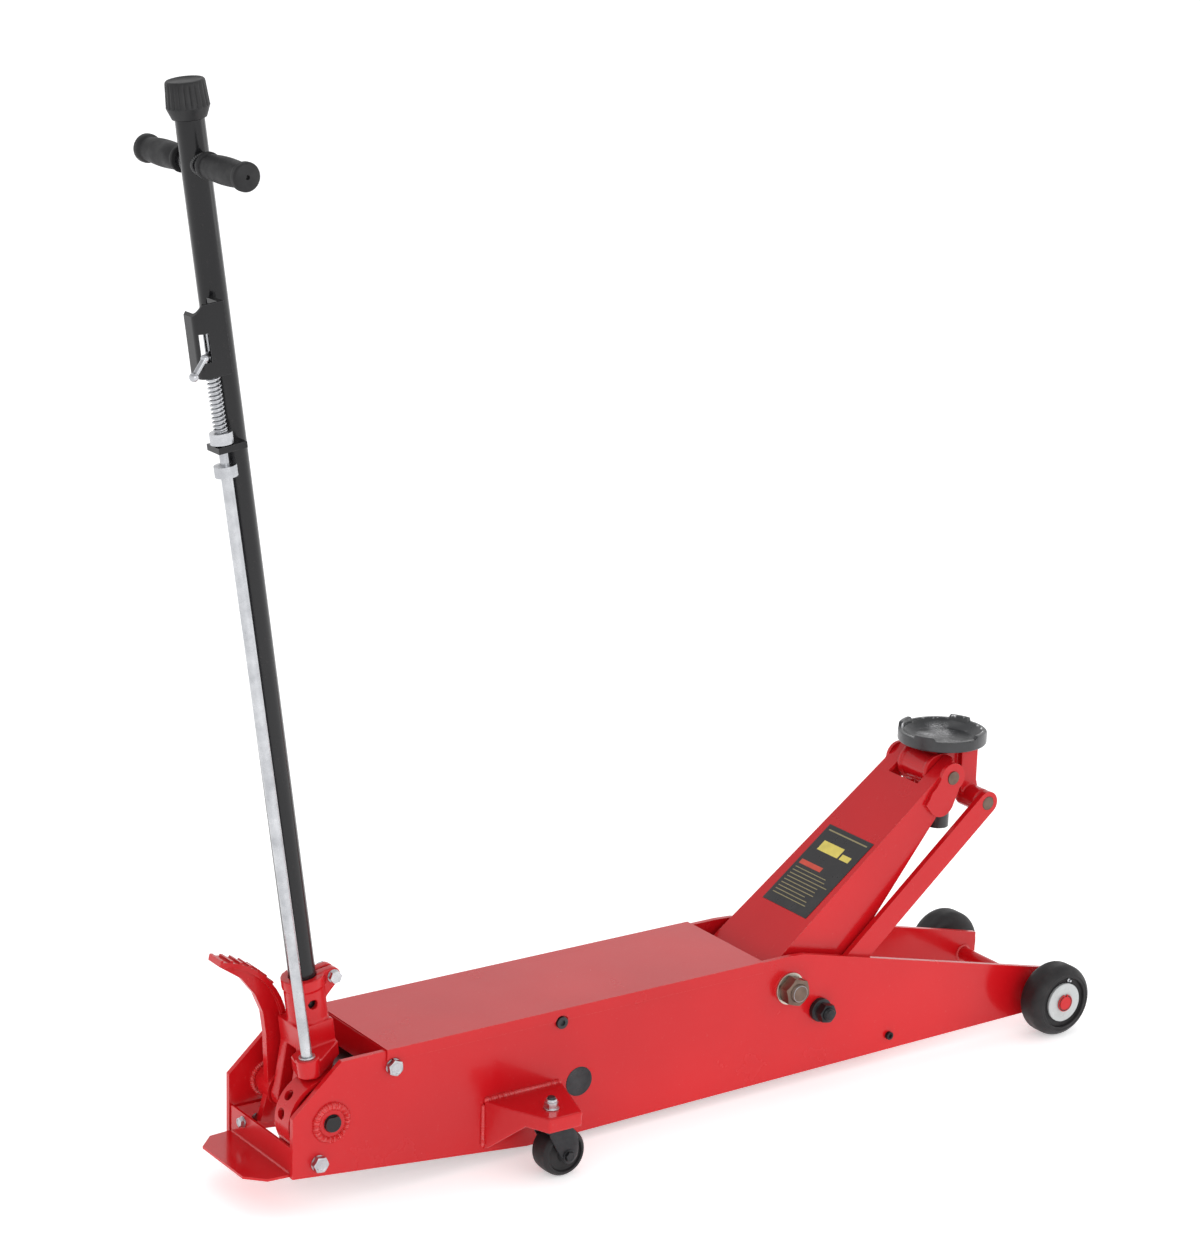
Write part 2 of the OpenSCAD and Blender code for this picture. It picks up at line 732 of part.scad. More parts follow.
// Barrel-shaped sleeve with a flange at each end, closed outside
module handle_grips() color(rubber) handle_frame() translate([tube_ahead, 0, bar_up]) both_sides()
    translate([0, grip_in, 0]) rotate([-90, 0, 0]) {
        middle = [for (i = [0:8])
            [16.5 + 2.2 * sin(180 * i / 8), 6 + (grip_len - 18) * i / 8]];
        rotate_extrude() polygon(concat(
            [[12.5, 0], [19, 0], [19, 5]], middle,
            [[19, grip_len - 11], [20, grip_len - 9], [20, grip_len - 2], [18, grip_len],
             [0, grip_len], [0, grip_len - 4], [12.5, grip_len - 4]]));
    }

// Channel that the lock rod's lever works in, and the tab that stops its upper collar
guide_foot = 1007;
guide_top = 1108;
tab_foot = 901;
tab_h = 9;
// Outline of the channel from one corner to the tube, with a rounded bend at that corner
module guide_section(x, y, bend, far) {
    translate([x + bend, y]) square([far - x - bend, -6 - y]);
    translate([x, y + bend]) square([far - x, -6 - y - bend]);
    translate([x + bend, y + bend]) circle(r = bend);
}

module lock_guide() color(black) {
    wall = 3.5;
    bend = 13;
    tall = guide_top - guide_foot;
    difference() {
        handle_frame() translate([0, 0, guide_foot + 94]) difference() {
            linear_extrude(tall) guide_section(-19, -45, bend, 26);
            translate([0, 0, 4]) linear_extrude(tall) guide_section(-19 + wall, -45 + wall, bend - wall, 18);
            translate([-26, -12, -1]) cube([14, 20, tall + 2]);
            translate([-25, -50, tall - 22]) rotate([0, -50, 0]) cube([60, 60, 40]);
            translate([tube_ahead, 0, -1]) cylinder(h = tall + 2, r = tube_r);
            translate([5, -26, 22]) rotate([0, 0, -lever_turn]) translate([-6.5, -36, 0]) cube([13, 30, 40]);
        }
        lock_frame() translate([0, 0, guide_foot - 20]) cylinder(h = 60, r = 6.6);
    }
    difference() {
        handle_frame() difference() {
            translate([-10, -45, tab_foot + 94]) cube([44, 34, tab_h]);
            translate([tube_ahead, 0, tab_foot]) cylinder(h = 200, r = tube_r);
        }
        lock_frame() translate([0, 0, tab_foot - 20]) cylinder(h = 60, r = 8.6);
    }
}

module clamp_bolt() color(zinc) handle_frame() translate([clamp_at[0], 0, clamp_at[1]]) {
    y_rod(5.5, -15, 24);
    y_rod(10, -16.5, -15);
    y_hex(17, -24, -16.5);
    difference() {
        y_hex(17, 15, 23);
        y_rod(5.5, 14, 24);
    }
}

module yoke_roller() color(steel) handle_frame() translate([tail[0], 0, tail[1]]) {
    y_rod(5, -26, 26);
    difference() {
        y_rod(roller_r, -13.5, 13.5);
        y_rod(5 + run, -14, 14);
    }
}

// Rod, thick below and thin above, with a bent lever
rod_step = 882;
lever_z = 1038;
lever_turn = 40;
upper_collar = tab_foot + tab_h + 2;
module lock_rod() color(zinc) lock_frame() {
    translate([0, 0, boss_foot]) cylinder(h = rod_step - boss_foot, r = 8);
    translate([0, 0, rod_step]) cylinder(h = guide_top - 10 - rod_step, r = 6);
    translate([0, 0, lever_z]) rotate([0, 0, -lever_turn]) {
        rotate([90, 0, 0]) cylinder(h = 32, r = 4);
        translate([0, -32, 0]) rotate([0, 0, lever_turn]) {
            sphere(r = 5.5);
            rotate([-10, 48, 0]) translate([0, 0, -30]) {
                cylinder(h = 28, r = 4);
                sphere(r = 6.5);
            }
        }
    }
}

module lock_collars() color(zinc) lock_frame() {
    translate([0, 0, rod_step - 16]) difference() {
        cylinder(h = 16, r = 16);
        translate([0, 0, -1]) cylinder(h = 20, r = 8);
    }
    translate([0, 0, upper_collar]) difference() {
        cylinder(h = 16, r = 16);
        translate([0, 0, -1]) cylinder(h = 20, r = 6);
    }
}

module lock_spring() color(zinc) lock_frame()
    translate([0, 0, upper_collar + 16.2])
        coil(8.7, 1.3, guide_foot - upper_collar - 16.6, 14, 10, 6);

module release_knob() color(rubber) handle_frame()
    translate([tube_ahead, 0, handle_len - knob_h]) rotate_extrude() polygon([
        [6, 0], [24.5, 0], [knob_r, 15], [knob_r, 20], [knob_top_r, knob_h], [0, knob_h],
        [0, 20], [6, 20]]);

module release_rod() color(steel) handle_frame() translate([tube_ahead, 0, 0]) {
    translate([0, 0, 76]) cylinder(h = handle_len - knob_h + 20 - 76, r = 6);
    translate([0, 0, 62]) cylinder(h = 14, r = 8);
}

// ---- Foot pedal -------------------------------------------------------------------------------

pedal_tread = [36, 72];
tread_from = 8;
tread_turn = 72;
pedal_web = [44, 56];
function tread_curve(a) = [-60 + 128 * sin(a), 225 + 125 * cos(a)];

module foot_pedal() color(paint) place() difference() {
    steps = 10;
    turns = [for (i = [0:steps]) tread_from + tread_turn * i / steps];
    top = [for (a = turns) tread_curve(a)];
    under = [for (a = turns) tread_curve(a) - 7 * [sin(a), cos(a)]];
    union() {
        y_plate(pedal_tread[0], pedal_tread[1])
            polygon(concat(top, [for (i = [steps:-1:0]) under[i]]));
        for (i = [0:6]) at(top[i]) rotate([0, turns[i], 0])
            translate([0, pedal_tread[0] + 1, -1]) cube([5, pedal_tread[1] - pedal_tread[0] - 2, 4]);
        y_plate(pedal_web[0], pedal_web[1]) polygon([
            [-38, 338], [-5, 315], [18, 285], [31, 255], [36, 220], [40, 130],
            [86, 130], [84, 180], [78, 215], [64, 255], [44, 290], [10, 325], [-38, 344]]);
        translate([yoke_x, 0, yoke_z]) {
            y_rod(26, 40, 70);
            y_plate(pedal_web[0], pedal_web[1]) polygon([
                [-25, -5], [-36, -46], [-24, -50], [-8, -45], [1, -27], [20, -10]]);
            translate([-6.3, 0, -35.5]) y_rod(9, 44, 60);
        }
    }
    translate([yoke_x, 0, yoke_z]) y_rod(shaft_r + run, 30, 80);
}

// ---- Wheels -----------------------------------------------------------------------------------

module front_tyre(side) color(rubber) place() on_side(side)
    translate([axle_x, wheel_in, wheel_r]) rotate([-90, 0, 0]) rotate_extrude($fn = 96)
        polygon(concat(
            [[30, 2], [34, 0]],
            on_arc([wheel_r - 16, 16], 16, -90, 0, 6),
            on_arc([wheel_r - 19.5, wheel_w - 18], 19.5, 0, 65, 6),
            [[42.5, wheel_w], [41.5, wheel_w - 6], [30, wheel_w - 6]]));

module wheel_hub(side) color([0.78, 0.79, 0.8]) place() on_side(side)
    translate([axle_x, wheel_in, wheel_r]) rotate([-90, 0, 0]) rotate_extrude($fn = 96)
        polygon([
            [axle_r + run, 0], [18, 0], [18, 4], [30, 4], [30, wheel_w - 6], [32.5, wheel_w - 6],
            [32.5, wheel_w - 2], [31.5, wheel_w - 1], [axle_r + run, wheel_w - 1]]);

module tyre_right() front_tyre(-1);
module tyre_left() front_tyre(1);
module wheel_hub_right() wheel_hub(-1);
module wheel_hub_left() wheel_hub(1);

// Swivel head, two cheeks and the axle bolt of a caster
module caster_fork(side) color(black) place() on_side(side) translate([caster_x, caster_y, 0]) {
    cheek = caster_w / 2 + 1;
    crown = caster_d + 2;
    translate([0, 0, 85]) cylinder(h = bracket_z - 66, r = 6);
    translate([0, 0, 89]) cylinder(h = bracket_z - 6.4 - 89, r = 21);
    translate([0, 0, crown]) cylinder(h = 89 - crown, r = 25);
    translate([-18, -cheek - 3, crown]) cube([38, 2 * cheek + 6, 4]);
    both_sides() difference() {
        union() {
            y_plate(cheek, cheek + 3) polygon([
                [-18, crown + 4], [20, crown + 4], [caster_trail + 12, caster_r],
                [caster_trail - 10, caster_r - 6]]);
            translate([caster_trail, 0, caster_r]) y_rod(12, cheek, cheek + 3);
        }
        translate([caster_trail, 0, caster_r]) y_rod(5, cheek - 4, cheek + 6);
    }
    translate([caster_trail, 0, caster_r]) {
        y_rod(5, -cheek - 7, cheek + 7);
        both_sides() difference() {
            y_hex(13, cheek + 3, cheek + 8);
            y_rod(5, cheek + 2, cheek + 9);
        }
    }
}

// Half of the caster wheel's section, as radius and distance from its middle
caster_section = [
    [5 + run, caster_w / 2 + 0.6], [12, caster_w / 2 + 0.6], [13, caster_w / 2 - 5],
    [caster_r - 10, caster_w / 2 - 5], [caster_r - 8, caster_w / 2], [caster_r - 5, caster_w / 2],
    [caster_r, caster_w / 2 - 8]
];

module caster_wheel(side) color(rubber) place() on_side(side)
    translate([caster_x + caster_trail, caster_y, caster_r]) rotate([-90, 0, 0])
        rotate_extrude($fn = 96) polygon(concat(
            [for (p = caster_section) [p[0], -p[1]]],
            [for (i = [len(caster_section) - 1:-1:0]) caster_section[i]]));

module caster_fork_right() caster_fork(-1);
module caster_fork_left() caster_fork(1);
module caster_wheel_right() caster_wheel(-1);
module caster_wheel_left() caster_wheel(1);

// ---- Nodes ------------------------------------------------------------------------------------

side_plate_right();
side_plate_left();
top_cover();
rear_step();
cross_members();
caster_bracket_right();
caster_bracket_left();
front_axle();
yoke_bosses();
yoke_shaft();
index_quadrant();
arm_pivot_shaft();
arm_pivot_nuts();
arm_pivot_washers();
rod_pivot_bolts();
trunnion_block();
pump_block();
reservoir();
cylinder_barrel();
hex_bolts();
socket_screws();
lift_arm();
arm_pivot_tube();
arm_crank();
label_plate();
saddle_hinge_pin();
saddle_bracket();
link_pins();
saddle();
saddle_post();
radius_rod_right();
radius_rod_left();
ram();
ram_clevis();
return_springs();
handle_yoke();
handle_tube();
cross_bar();
handle_grips();
lock_guide();
clamp_bolt();
yoke_roller();
lock_rod();
lock_collars();
lock_spring();
release_knob();
release_rod();
valve_spindle();
foot_pedal();
pump_plunger();
pump_spring();
pedal_plunger();
tyre_right();
tyre_left();
wheel_hub_right();
wheel_hub_left();
caster_fork_right();
caster_fork_left();
caster_wheel_right();
caster_wheel_left();
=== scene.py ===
import json
import math
import random

import bmesh
import bpy
from mathutils import Matrix, Vector


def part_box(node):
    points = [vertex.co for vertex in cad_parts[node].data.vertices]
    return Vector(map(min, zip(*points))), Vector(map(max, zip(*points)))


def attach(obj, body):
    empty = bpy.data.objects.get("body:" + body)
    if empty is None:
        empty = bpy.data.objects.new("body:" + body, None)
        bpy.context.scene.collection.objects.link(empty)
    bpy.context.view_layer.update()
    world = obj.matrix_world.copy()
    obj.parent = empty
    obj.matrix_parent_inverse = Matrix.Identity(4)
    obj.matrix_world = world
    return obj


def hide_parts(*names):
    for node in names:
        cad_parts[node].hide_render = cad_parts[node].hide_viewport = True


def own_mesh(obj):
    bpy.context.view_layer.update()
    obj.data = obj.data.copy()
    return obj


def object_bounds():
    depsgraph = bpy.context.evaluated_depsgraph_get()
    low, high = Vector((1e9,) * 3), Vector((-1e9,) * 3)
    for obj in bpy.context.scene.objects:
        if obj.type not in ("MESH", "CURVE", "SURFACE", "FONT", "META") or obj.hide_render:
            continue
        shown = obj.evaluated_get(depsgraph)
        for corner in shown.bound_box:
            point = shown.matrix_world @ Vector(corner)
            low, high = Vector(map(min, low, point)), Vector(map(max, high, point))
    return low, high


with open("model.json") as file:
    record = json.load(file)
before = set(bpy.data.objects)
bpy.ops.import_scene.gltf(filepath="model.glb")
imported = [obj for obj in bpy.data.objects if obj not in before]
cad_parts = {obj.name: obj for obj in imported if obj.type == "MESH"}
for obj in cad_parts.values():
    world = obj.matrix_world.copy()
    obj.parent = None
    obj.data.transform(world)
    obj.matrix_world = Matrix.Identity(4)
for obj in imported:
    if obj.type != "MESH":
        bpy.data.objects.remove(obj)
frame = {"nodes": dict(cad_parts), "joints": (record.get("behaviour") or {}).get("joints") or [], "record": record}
cad_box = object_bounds()
NODES = frame["nodes"]
JOINTS = {joint["name"]: joint for joint in frame["joints"]}
SIDES = {"right": -1, "left": 1}


# ---- Places that the frame gives ----------------------------------------------------------------

def low(node):
    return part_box(node)[0]


def high(node):
    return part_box(node)[1]


def middle(node):
    lowest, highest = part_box(node)
    return (Vector(lowest) + Vector(highest)) / 2


def pivot(joint):
    return Vector(JOINTS[joint]["pos_m"])


PLATE_OUT = high("side_plate_left")[1]
PLATE_IN = low("side_plate_left")[1]
REAR_X = low("side_plate_left")[0]
ARM_AXIS = pivot("arm_lift")
ROD_AXIS = pivot("rods_swing")
YOKE_AXIS = pivot("handle_pump")
HANDLE_UP = Vector(JOINTS["release_turn"]["axis"]).normalized()
HANDLE_AHEAD = Vector((HANDLE_UP.z, 0, -HANDLE_UP.x))


def handle_point(ahead, side, up):
    """A point from its place in the handle's own frame, whose origin is the yoke's pivot."""
    return YOKE_AXIS + HANDLE_AHEAD * ahead + Vector((0, side, 0)) + HANDLE_UP * up


# ---- Camera, light and floor --------------------------------------------------------------------

CAMERA_AT = Vector((-2.9246, -4.0877, 2.2062))
CAMERA_YAW = math.radians(34.77)
CAMERA_PITCH = math.radians(16.03)
CAMERA_ROLL = math.radians(1.61)
CAMERA_LENS = 104.94


def add_camera():
    ahead = Vector((math.sin(CAMERA_YAW) * math.cos(CAMERA_PITCH),
                    math.cos(CAMERA_YAW) * math.cos(CAMERA_PITCH), -math.sin(CAMERA_PITCH)))
    right = Vector((math.cos(CAMERA_YAW), -math.sin(CAMERA_YAW), 0))
    up = right.cross(ahead)
    tilted_right = right * math.cos(CAMERA_ROLL) + up * math.sin(CAMERA_ROLL)
    tilted_up = up * math.cos(CAMERA_ROLL) - right * math.sin(CAMERA_ROLL)
    data = bpy.data.cameras.new("camera")
    data.lens = CAMERA_LENS
    # The long side of the picture is upright, so the sensor is fitted to its width
    data.sensor_width = 36
    data.sensor_fit = "HORIZONTAL"
    data.clip_start = 0.1
    camera = bpy.data.objects.new("camera", data)
    axes = Matrix((tilted_right, tilted_up, -ahead)).transposed()
    camera.matrix_world = Matrix.Translation(CAMERA_AT) @ axes.to_4x4()
    bpy.context.scene.collection.objects.link(camera)
    bpy.context.scene.camera = camera


def add_area_light(name, at, target, size, power):
    data = bpy.data.lights.new(name, "AREA")
    data.shape = "RECTANGLE"
    data.size, data.size_y = size
    data.energy = power
    lamp = bpy.data.objects.new(name, data)
    lamp.location = at
    lamp.rotation_mode = "QUATERNION"
    lamp.rotation_quaternion = (Vector(target) - Vector(at)).to_track_quat("-Z", "Y")
    bpy.context.scene.collection.objects.link(lamp)


def add_studio():
    """A white room: an even dome, a wide key on the side that the camera sees, and a soft top."""
    # The filmic default would wash the enamel out
    bpy.context.scene.view_settings.view_transform = "Standard"
    world = bpy.data.worlds.new("studio")
    world.use_nodes = True
    nodes, links = world.node_tree.nodes, world.node_tree.links
    background = nodes["Background"]
    direction = nodes.new("ShaderNodeTexCoord")
    split = nodes.new("ShaderNodeSeparateXYZ")
    links.new(direction.outputs["Generated"], split.inputs["Vector"])
    sky = nodes.new("ShaderNodeValToRGB")
    sky.color_ramp.elements[0].position = 0.22
    sky.color_ramp.elements[0].color = (1.1, 1.1, 1.1, 1)
    sky.color_ramp.elements[1].position = 0.85
    sky.color_ramp.elements[1].color = (0.60, 0.60, 0.61, 1)
    links.new(split.outputs["Z"], sky.inputs["Fac"])
    links.new(sky.outputs["Color"], background.inputs["Color"])
    background.inputs["Strength"].default_value = 1.0
    bpy.context.scene.world = world
    add_area_light("key", (-0.6, -3.6, 2.0), (0, 0, 0.25), (3.4, 1.8), 26)
    add_area_light("top", (0.1, 0.4, 3.4), (0, 0, 0), (3.4, 1.6), 14)
    add_area_light("front", (3.4, -1.2, 1.6), (0.3, 0, 0.3), (1.6, 1.6), 8)


def add_floor():
    bpy.ops.mesh.primitive_plane_add(size=60, location=(0, 0, cad_box[0].z - 0.0004))
    floor = bpy.context.object
    floor.name = "studio_floor"
    material = bpy.data.materials.new("floor")
    material.use_nodes = True
    shader = material.node_tree.nodes["Principled BSDF"]
    shader.inputs["Base Color"].default_value = (0.97, 0.97, 0.97, 1)
    shader.inputs["Roughness"].default_value = 0.75
    shader.inputs["Emission Color"].default_value = (1, 1, 1, 1)
    shader.inputs["Emission Strength"].default_value = 0.42
    floor.data.materials.append(material)


# ---- Materials ----------------------------------------------------------------------------------

class Nodes:
    """Builds one node material around its Principled shader."""

    def __init__(self, name):
        self.material = bpy.data.materials.new(name)
        self.material.use_nodes = True
        self.tree = self.material.node_tree
        self.shader = self.tree.nodes["Principled BSDF"]
        self.place = self.tree.nodes.new("ShaderNodeTexCoord").outputs["Object"]

    def link(self, source, target):
        self.tree.links.new(source, target)

    def set(self, **values):
        for name, value in values.items():
            self.shader.inputs[name.replace("_", " ")].default_value = value

    def noise(self, scale, detail=3.0, roughness=0.55, stretch=None):
        node = self.tree.nodes.new("ShaderNodeTexNoise")
        node.inputs["Scale"].default_value = scale
        node.inputs["Detail"].default_value = detail
        node.inputs["Roughness"].default_value = roughness
        place = self.place
        if stretch:
            mapping = self.tree.nodes.new("ShaderNodeMapping")
            mapping.inputs["Scale"].default_value = stretch
            self.link(place, mapping.inputs["Vector"])
            place = mapping.outputs["Vector"]
        self.link(place, node.inputs["Vector"])
        return node.outputs["Fac"]

    def ramp(self, source, stops):
        """Maps 0 to 1 through (position, value) stops; a value is a grey or a colour."""
        node = self.tree.nodes.new("ShaderNodeValToRGB")
        elements = node.color_ramp.elements
        while len(elements) < len(stops):
            elements.new(0.5)
        for element, (position, value) in zip(elements, stops):
            element.position = position
            colour = value if isinstance(value, (tuple, list)) else (value,) * 3
            element.color = (*colour[:3], 1)
        self.link(source, node.inputs["Fac"])
        return node.outputs["Color"]

    def mix(self, factor, first, second):
        node = self.tree.nodes.new("ShaderNodeMix")
        node.data_type = "RGBA"
        for value, socket in ((factor, node.inputs[0]), (first, node.inputs[6]), (second, node.inputs[7])):
            if hasattr(value, "is_output"):
                self.link(value, socket)
            elif isinstance(value, (tuple, list)):
                socket.default_value = (*value[:3], 1)
            else:
                socket.default_value = value
        return node.outputs[2]

    def math(self, operation, first, second):
        node = self.tree.nodes.new("ShaderNodeMath")
        node.operation = operation
        for value, socket in ((first, node.inputs[0]), (second, node.inputs[1])):
            if hasattr(value, "is_output"):
                self.link(value, socket)
            else:
                socket.default_value = value
        return node.outputs[0]

    def distance_from(self, x, y):
        """Distance from an upright axis, in metres."""
        node = self.tree.nodes.new("ShaderNodeVectorMath")
        node.operation = "SUBTRACT"
        self.link(self.place, node.inputs[0])
        node.inputs[1].default_value = (x, y, 0)
        flat = self.tree.nodes.new("ShaderNodeVectorMath")
        flat.operation = "MULTIPLY"
        self.link(node.outputs["Vector"], flat.inputs[0])
        flat.inputs[1].default_value = (1, 1, 0)
        length = self.tree.nodes.new("ShaderNodeVectorMath")
        length.operation = "LENGTH"
        self.link(flat.outputs["Vector"], length.inputs[0])
        return length.outputs["Value"]

    def bump(self, height, strength, distance, under=None):
        node = self.tree.nodes.new("ShaderNodeBump")
        node.inputs["Strength"].default_value = strength
        node.inputs["Distance"].default_value = distance
        self.link(height, node.inputs["Height"])
        if under:
            self.link(under, node.inputs["Normal"])
        self.link(node.outputs["Normal"], self.shader.inputs["Normal"])
        return node.outputs["Normal"]

    def edges(self, width, grain_scale):
        """1 on worn outer edges and 0 elsewhere, broken up by noise."""
        bevel = self.tree.nodes.new("ShaderNodeBevel")
        bevel.samples = 4
        bevel.inputs["Radius"].default_value = width
        geometry = self.tree.nodes.new("ShaderNodeNewGeometry")
        dot = self.tree.nodes.new("ShaderNodeVectorMath")
        dot.operation = "DOT_PRODUCT"
        self.link(bevel.outputs["Normal"], dot.inputs[0])
        self.link(geometry.outputs["Normal"], dot.inputs[1])
        edge = self.ramp(dot.outputs["Value"], [(0.86, 1.0), (0.985, 0.0)])
        grain = self.ramp(self.noise(grain_scale, 4), [(0.42, 0.0), (0.62, 1.0)])
        return self.math("MULTIPLY", edge, grain)


def enamel(name, base, dark, rough=0.2, edge=None, edge_amount=0.5, peel=0.05, dust=0.06, coat=0.16):
    """Glossy enamel: orange peel, slow tone drift, faint dust and worn edges."""
    made = Nodes(name)
    made.set(Coat_Weight=coat, Coat_Roughness=0.08, Specular_IOR_Level=0.3)
    tone = made.ramp(made.noise(3.1, 2), [(0.3, dark), (0.7, base)])
    specks = made.ramp(made.noise(140, 5, 0.7), [(0.62, 0.0), (0.78, 1.0)])
    dusty = made.mix(made.math("MULTIPLY", specks, dust), tone, (0.55, 0.42, 0.38))
    if edge:
        worn = made.math("MULTIPLY", made.edges(0.0016, 260), edge_amount)
        dusty = made.mix(worn, dusty, edge)
    made.link(dusty, made.shader.inputs["Base Color"])
    smear = made.ramp(made.noise(9, 5, 0.6), [(0.35, rough * 0.75), (0.7, rough * 1.5)])
    made.link(smear, made.shader.inputs["Roughness"])
    waves = made.bump(made.noise(34, 2), peel, 0.004)
    made.bump(made.noise(420, 2), peel * 1.4, 0.0006, under=waves)
    return made.material


def metal(name, base, dark, rough, metallic=1.0, rust=None, bump=0.12):
    """Machined or plated metal: turning marks, smears and a little tarnish."""
    made = Nodes(name)
    made.set(Metallic=metallic)
    tone = made.ramp(made.noise(24, 4, 0.65), [(0.3, dark), (0.68, base)])
    if rust:
        spots = made.ramp(made.noise(70, 6, 0.7), [(0.6, 0.0), (0.72, 0.6)])
        tone = made.mix(spots, tone, rust)
    made.link(tone, made.shader.inputs["Base Color"])
    smear = made.ramp(made.noise(55, 4, 0.6), [(0.3, rough * 0.7), (0.72, rough * 1.45)])
    made.link(smear, made.shader.inputs["Roughness"])
    made.bump(made.noise(220, 3, 0.6), bump, 0.0008)
    return made.material


def moulded(name, base, light, rough, grain=520, bump=0.18):
    """Moulded rubber or plastic: fine grain, scuffs and dust."""
    made = Nodes(name)
    made.set(Specular_IOR_Level=0.42)
    scuffs = made.ramp(made.noise(26, 6, 0.7), [(0.5, 0.0), (0.8, 0.6)])
    made.link(made.mix(scuffs, base, light), made.shader.inputs["Base Color"])
    smear = made.ramp(made.noise(38, 4), [(0.3, rough * 0.8), (0.7, rough * 1.25)])
    made.link(smear, made.shader.inputs["Roughness"])
    made.bump(made.noise(grain, 3, 0.6), bump, 0.0006)
    return made.material


def worn_dish(name):
    """Black enamel, scraped to bright metal in the saddle's bowl and along the top of its rim."""
    made = Nodes(name)
    made.set(Specular_IOR_Level=0.5, Coat_Weight=0.25, Coat_Roughness=0.2)
    axis = JOINTS["saddle_swivel"]["pos_m"]
    base = made.ramp(made.noise(30, 4), [(0.3, (0.010, 0.011, 0.012)), (0.7, (0.028, 0.029, 0.032))])
    distance = made.math("MULTIPLY", made.distance_from(axis[0], axis[1]), 10.0)
    bowl = made.ramp(distance, [(0.50, 1.0), (0.62, 0.0)])
    rim = made.ramp(distance, [(0.636, 0.0), (0.642, 1.0), (0.662, 1.0), (0.668, 0.0)])
    split = made.tree.nodes.new("ShaderNodeSeparateXYZ")
    made.link(made.place, split.inputs["Vector"])
    inside = made.math("GREATER_THAN", split.outputs["Z"], axis[2] - 0.002)
    patch = made.ramp(made.noise(17, 3), [(0.50, 0.0), (0.68, 1.0)])
    sparkle = made.ramp(made.noise(620, 3, 0.7), [(0.47, 0.0), (0.56, 1.0)])
    scrapes = made.ramp(made.noise(34, 6, 0.7, (1, 3, 1)), [(0.52, 0.0), (0.60, 1.0)])
    scraped = made.math("MULTIPLY", bowl, made.math("MULTIPLY", patch, sparkle))
    rubbed = made.math("MULTIPLY", made.math("MAXIMUM", scraped, made.math("MULTIPLY", rim, scrapes)), inside)
    rubbed = made.math("MAXIMUM", rubbed, made.math("MULTIPLY", made.edges(0.0010, 180), 0.4))
    made.link(made.mix(rubbed, base, (0.80, 0.80, 0.81)), made.shader.inputs["Base Color"])
    made.link(made.math("MULTIPLY", rubbed, 0.85), made.shader.inputs["Metallic"])
    made.link(made.ramp(made.noise(90, 4), [(0.3, 0.26), (0.7, 0.45)]), made.shader.inputs["Roughness"])
    made.bump(made.noise(260, 4), 0.2, 0.0007)
    return made.material


RED = (0.61, 0.008, 0.012)
RED_DARK = (0.50, 0.005, 0.009)
MATERIALS = {
    "red_paint": enamel("red_enamel", RED, RED_DARK, edge=(0.72, 0.16, 0.13), edge_amount=0.35),
    "black_gloss": enamel("black_enamel", (0.010, 0.010, 0.011), (0.005, 0.005, 0.006), rough=0.2,
                          edge=(0.16, 0.16, 0.17), edge_amount=0.4, dust=0.05),
    "black_oxide": metal("black_oxide", (0.050, 0.051, 0.054), (0.016, 0.016, 0.018), 0.34, metallic=0.7),
    "worn_black": worn_dish("worn_black"),
    "plain_steel": metal("machined_steel", (0.42, 0.42, 0.43), (0.26, 0.26, 0.27), 0.36,
                         rust=(0.16, 0.09, 0.05)),
    "phosphated_steel": metal("phosphated_steel", (0.22, 0.155, 0.12), (0.10, 0.07, 0.055), 0.42,
                              metallic=0.85, rust=(0.15, 0.07, 0.035), bump=0.2),
    "bright_washer": metal("bright_washer", (0.62, 0.60, 0.52), (0.44, 0.42, 0.35), 0.33),
    "zinc_plate": metal("zinc_plate", (0.60, 0.61, 0.63), (0.38, 0.39, 0.41), 0.27),
    "hard_chrome": metal("hard_chrome", (0.7, 0.71, 0.73), (0.56, 0.57, 0.59), 0.12),
    "tyre_rubber": moulded("tyre_rubber", (0.008, 0.007, 0.008), (0.034, 0.031, 0.030), 0.55),
    "hub_grey": moulded("hub_grey", (0.50, 0.52, 0.52), (0.38, 0.39, 0.39), 0.3, grain=160, bump=0.05),
    "grip_rubber": moulded("grip_rubber", (0.009, 0.009, 0.010), (0.030, 0.030, 0.030), 0.6),
    "knob_plastic": moulded("knob_plastic", (0.008, 0.008, 0.009), (0.026, 0.026, 0.026), 0.5, grain=300),
    "label_film": moulded("label_film", (0.02, 0.019, 0.02), (0.045, 0.04, 0.04), 0.3, grain=90, bump=0.03),
}
# Bead enamels: glossier and bumpier than the plain enamel, with a lighter base colour that is painted highlight
# for the glints on the beads
WELD_GLOSS_AND_HIGHLIGHT = {
    "red_paint": enamel("red_bead", (0.74, 0.05, 0.05), (0.56, 0.012, 0.016), rough=0.12, peel=0.6, coat=0.8),
    "black_gloss": enamel("black_bead", (0.02, 0.02, 0.022), (0.009, 0.009, 0.01), rough=0.16, peel=0.5,
                          coat=0.8),
}
ROUND_EDGES = {
    "red_paint": 0.0012, "black_gloss": 0.0008, "black_oxide": 0.0006, "worn_black": 0.0012,
    "plain_steel": 0.0008, "phosphated_steel": 0.0008, "bright_washer": 0.0005, "zinc_plate": 0.0005,
}
ROUND_NODES = {"foot_pedal": 0.0016}
SLOTS = {row["node"]: row["material_slot"] for row in frame["record"]["subparts"]}


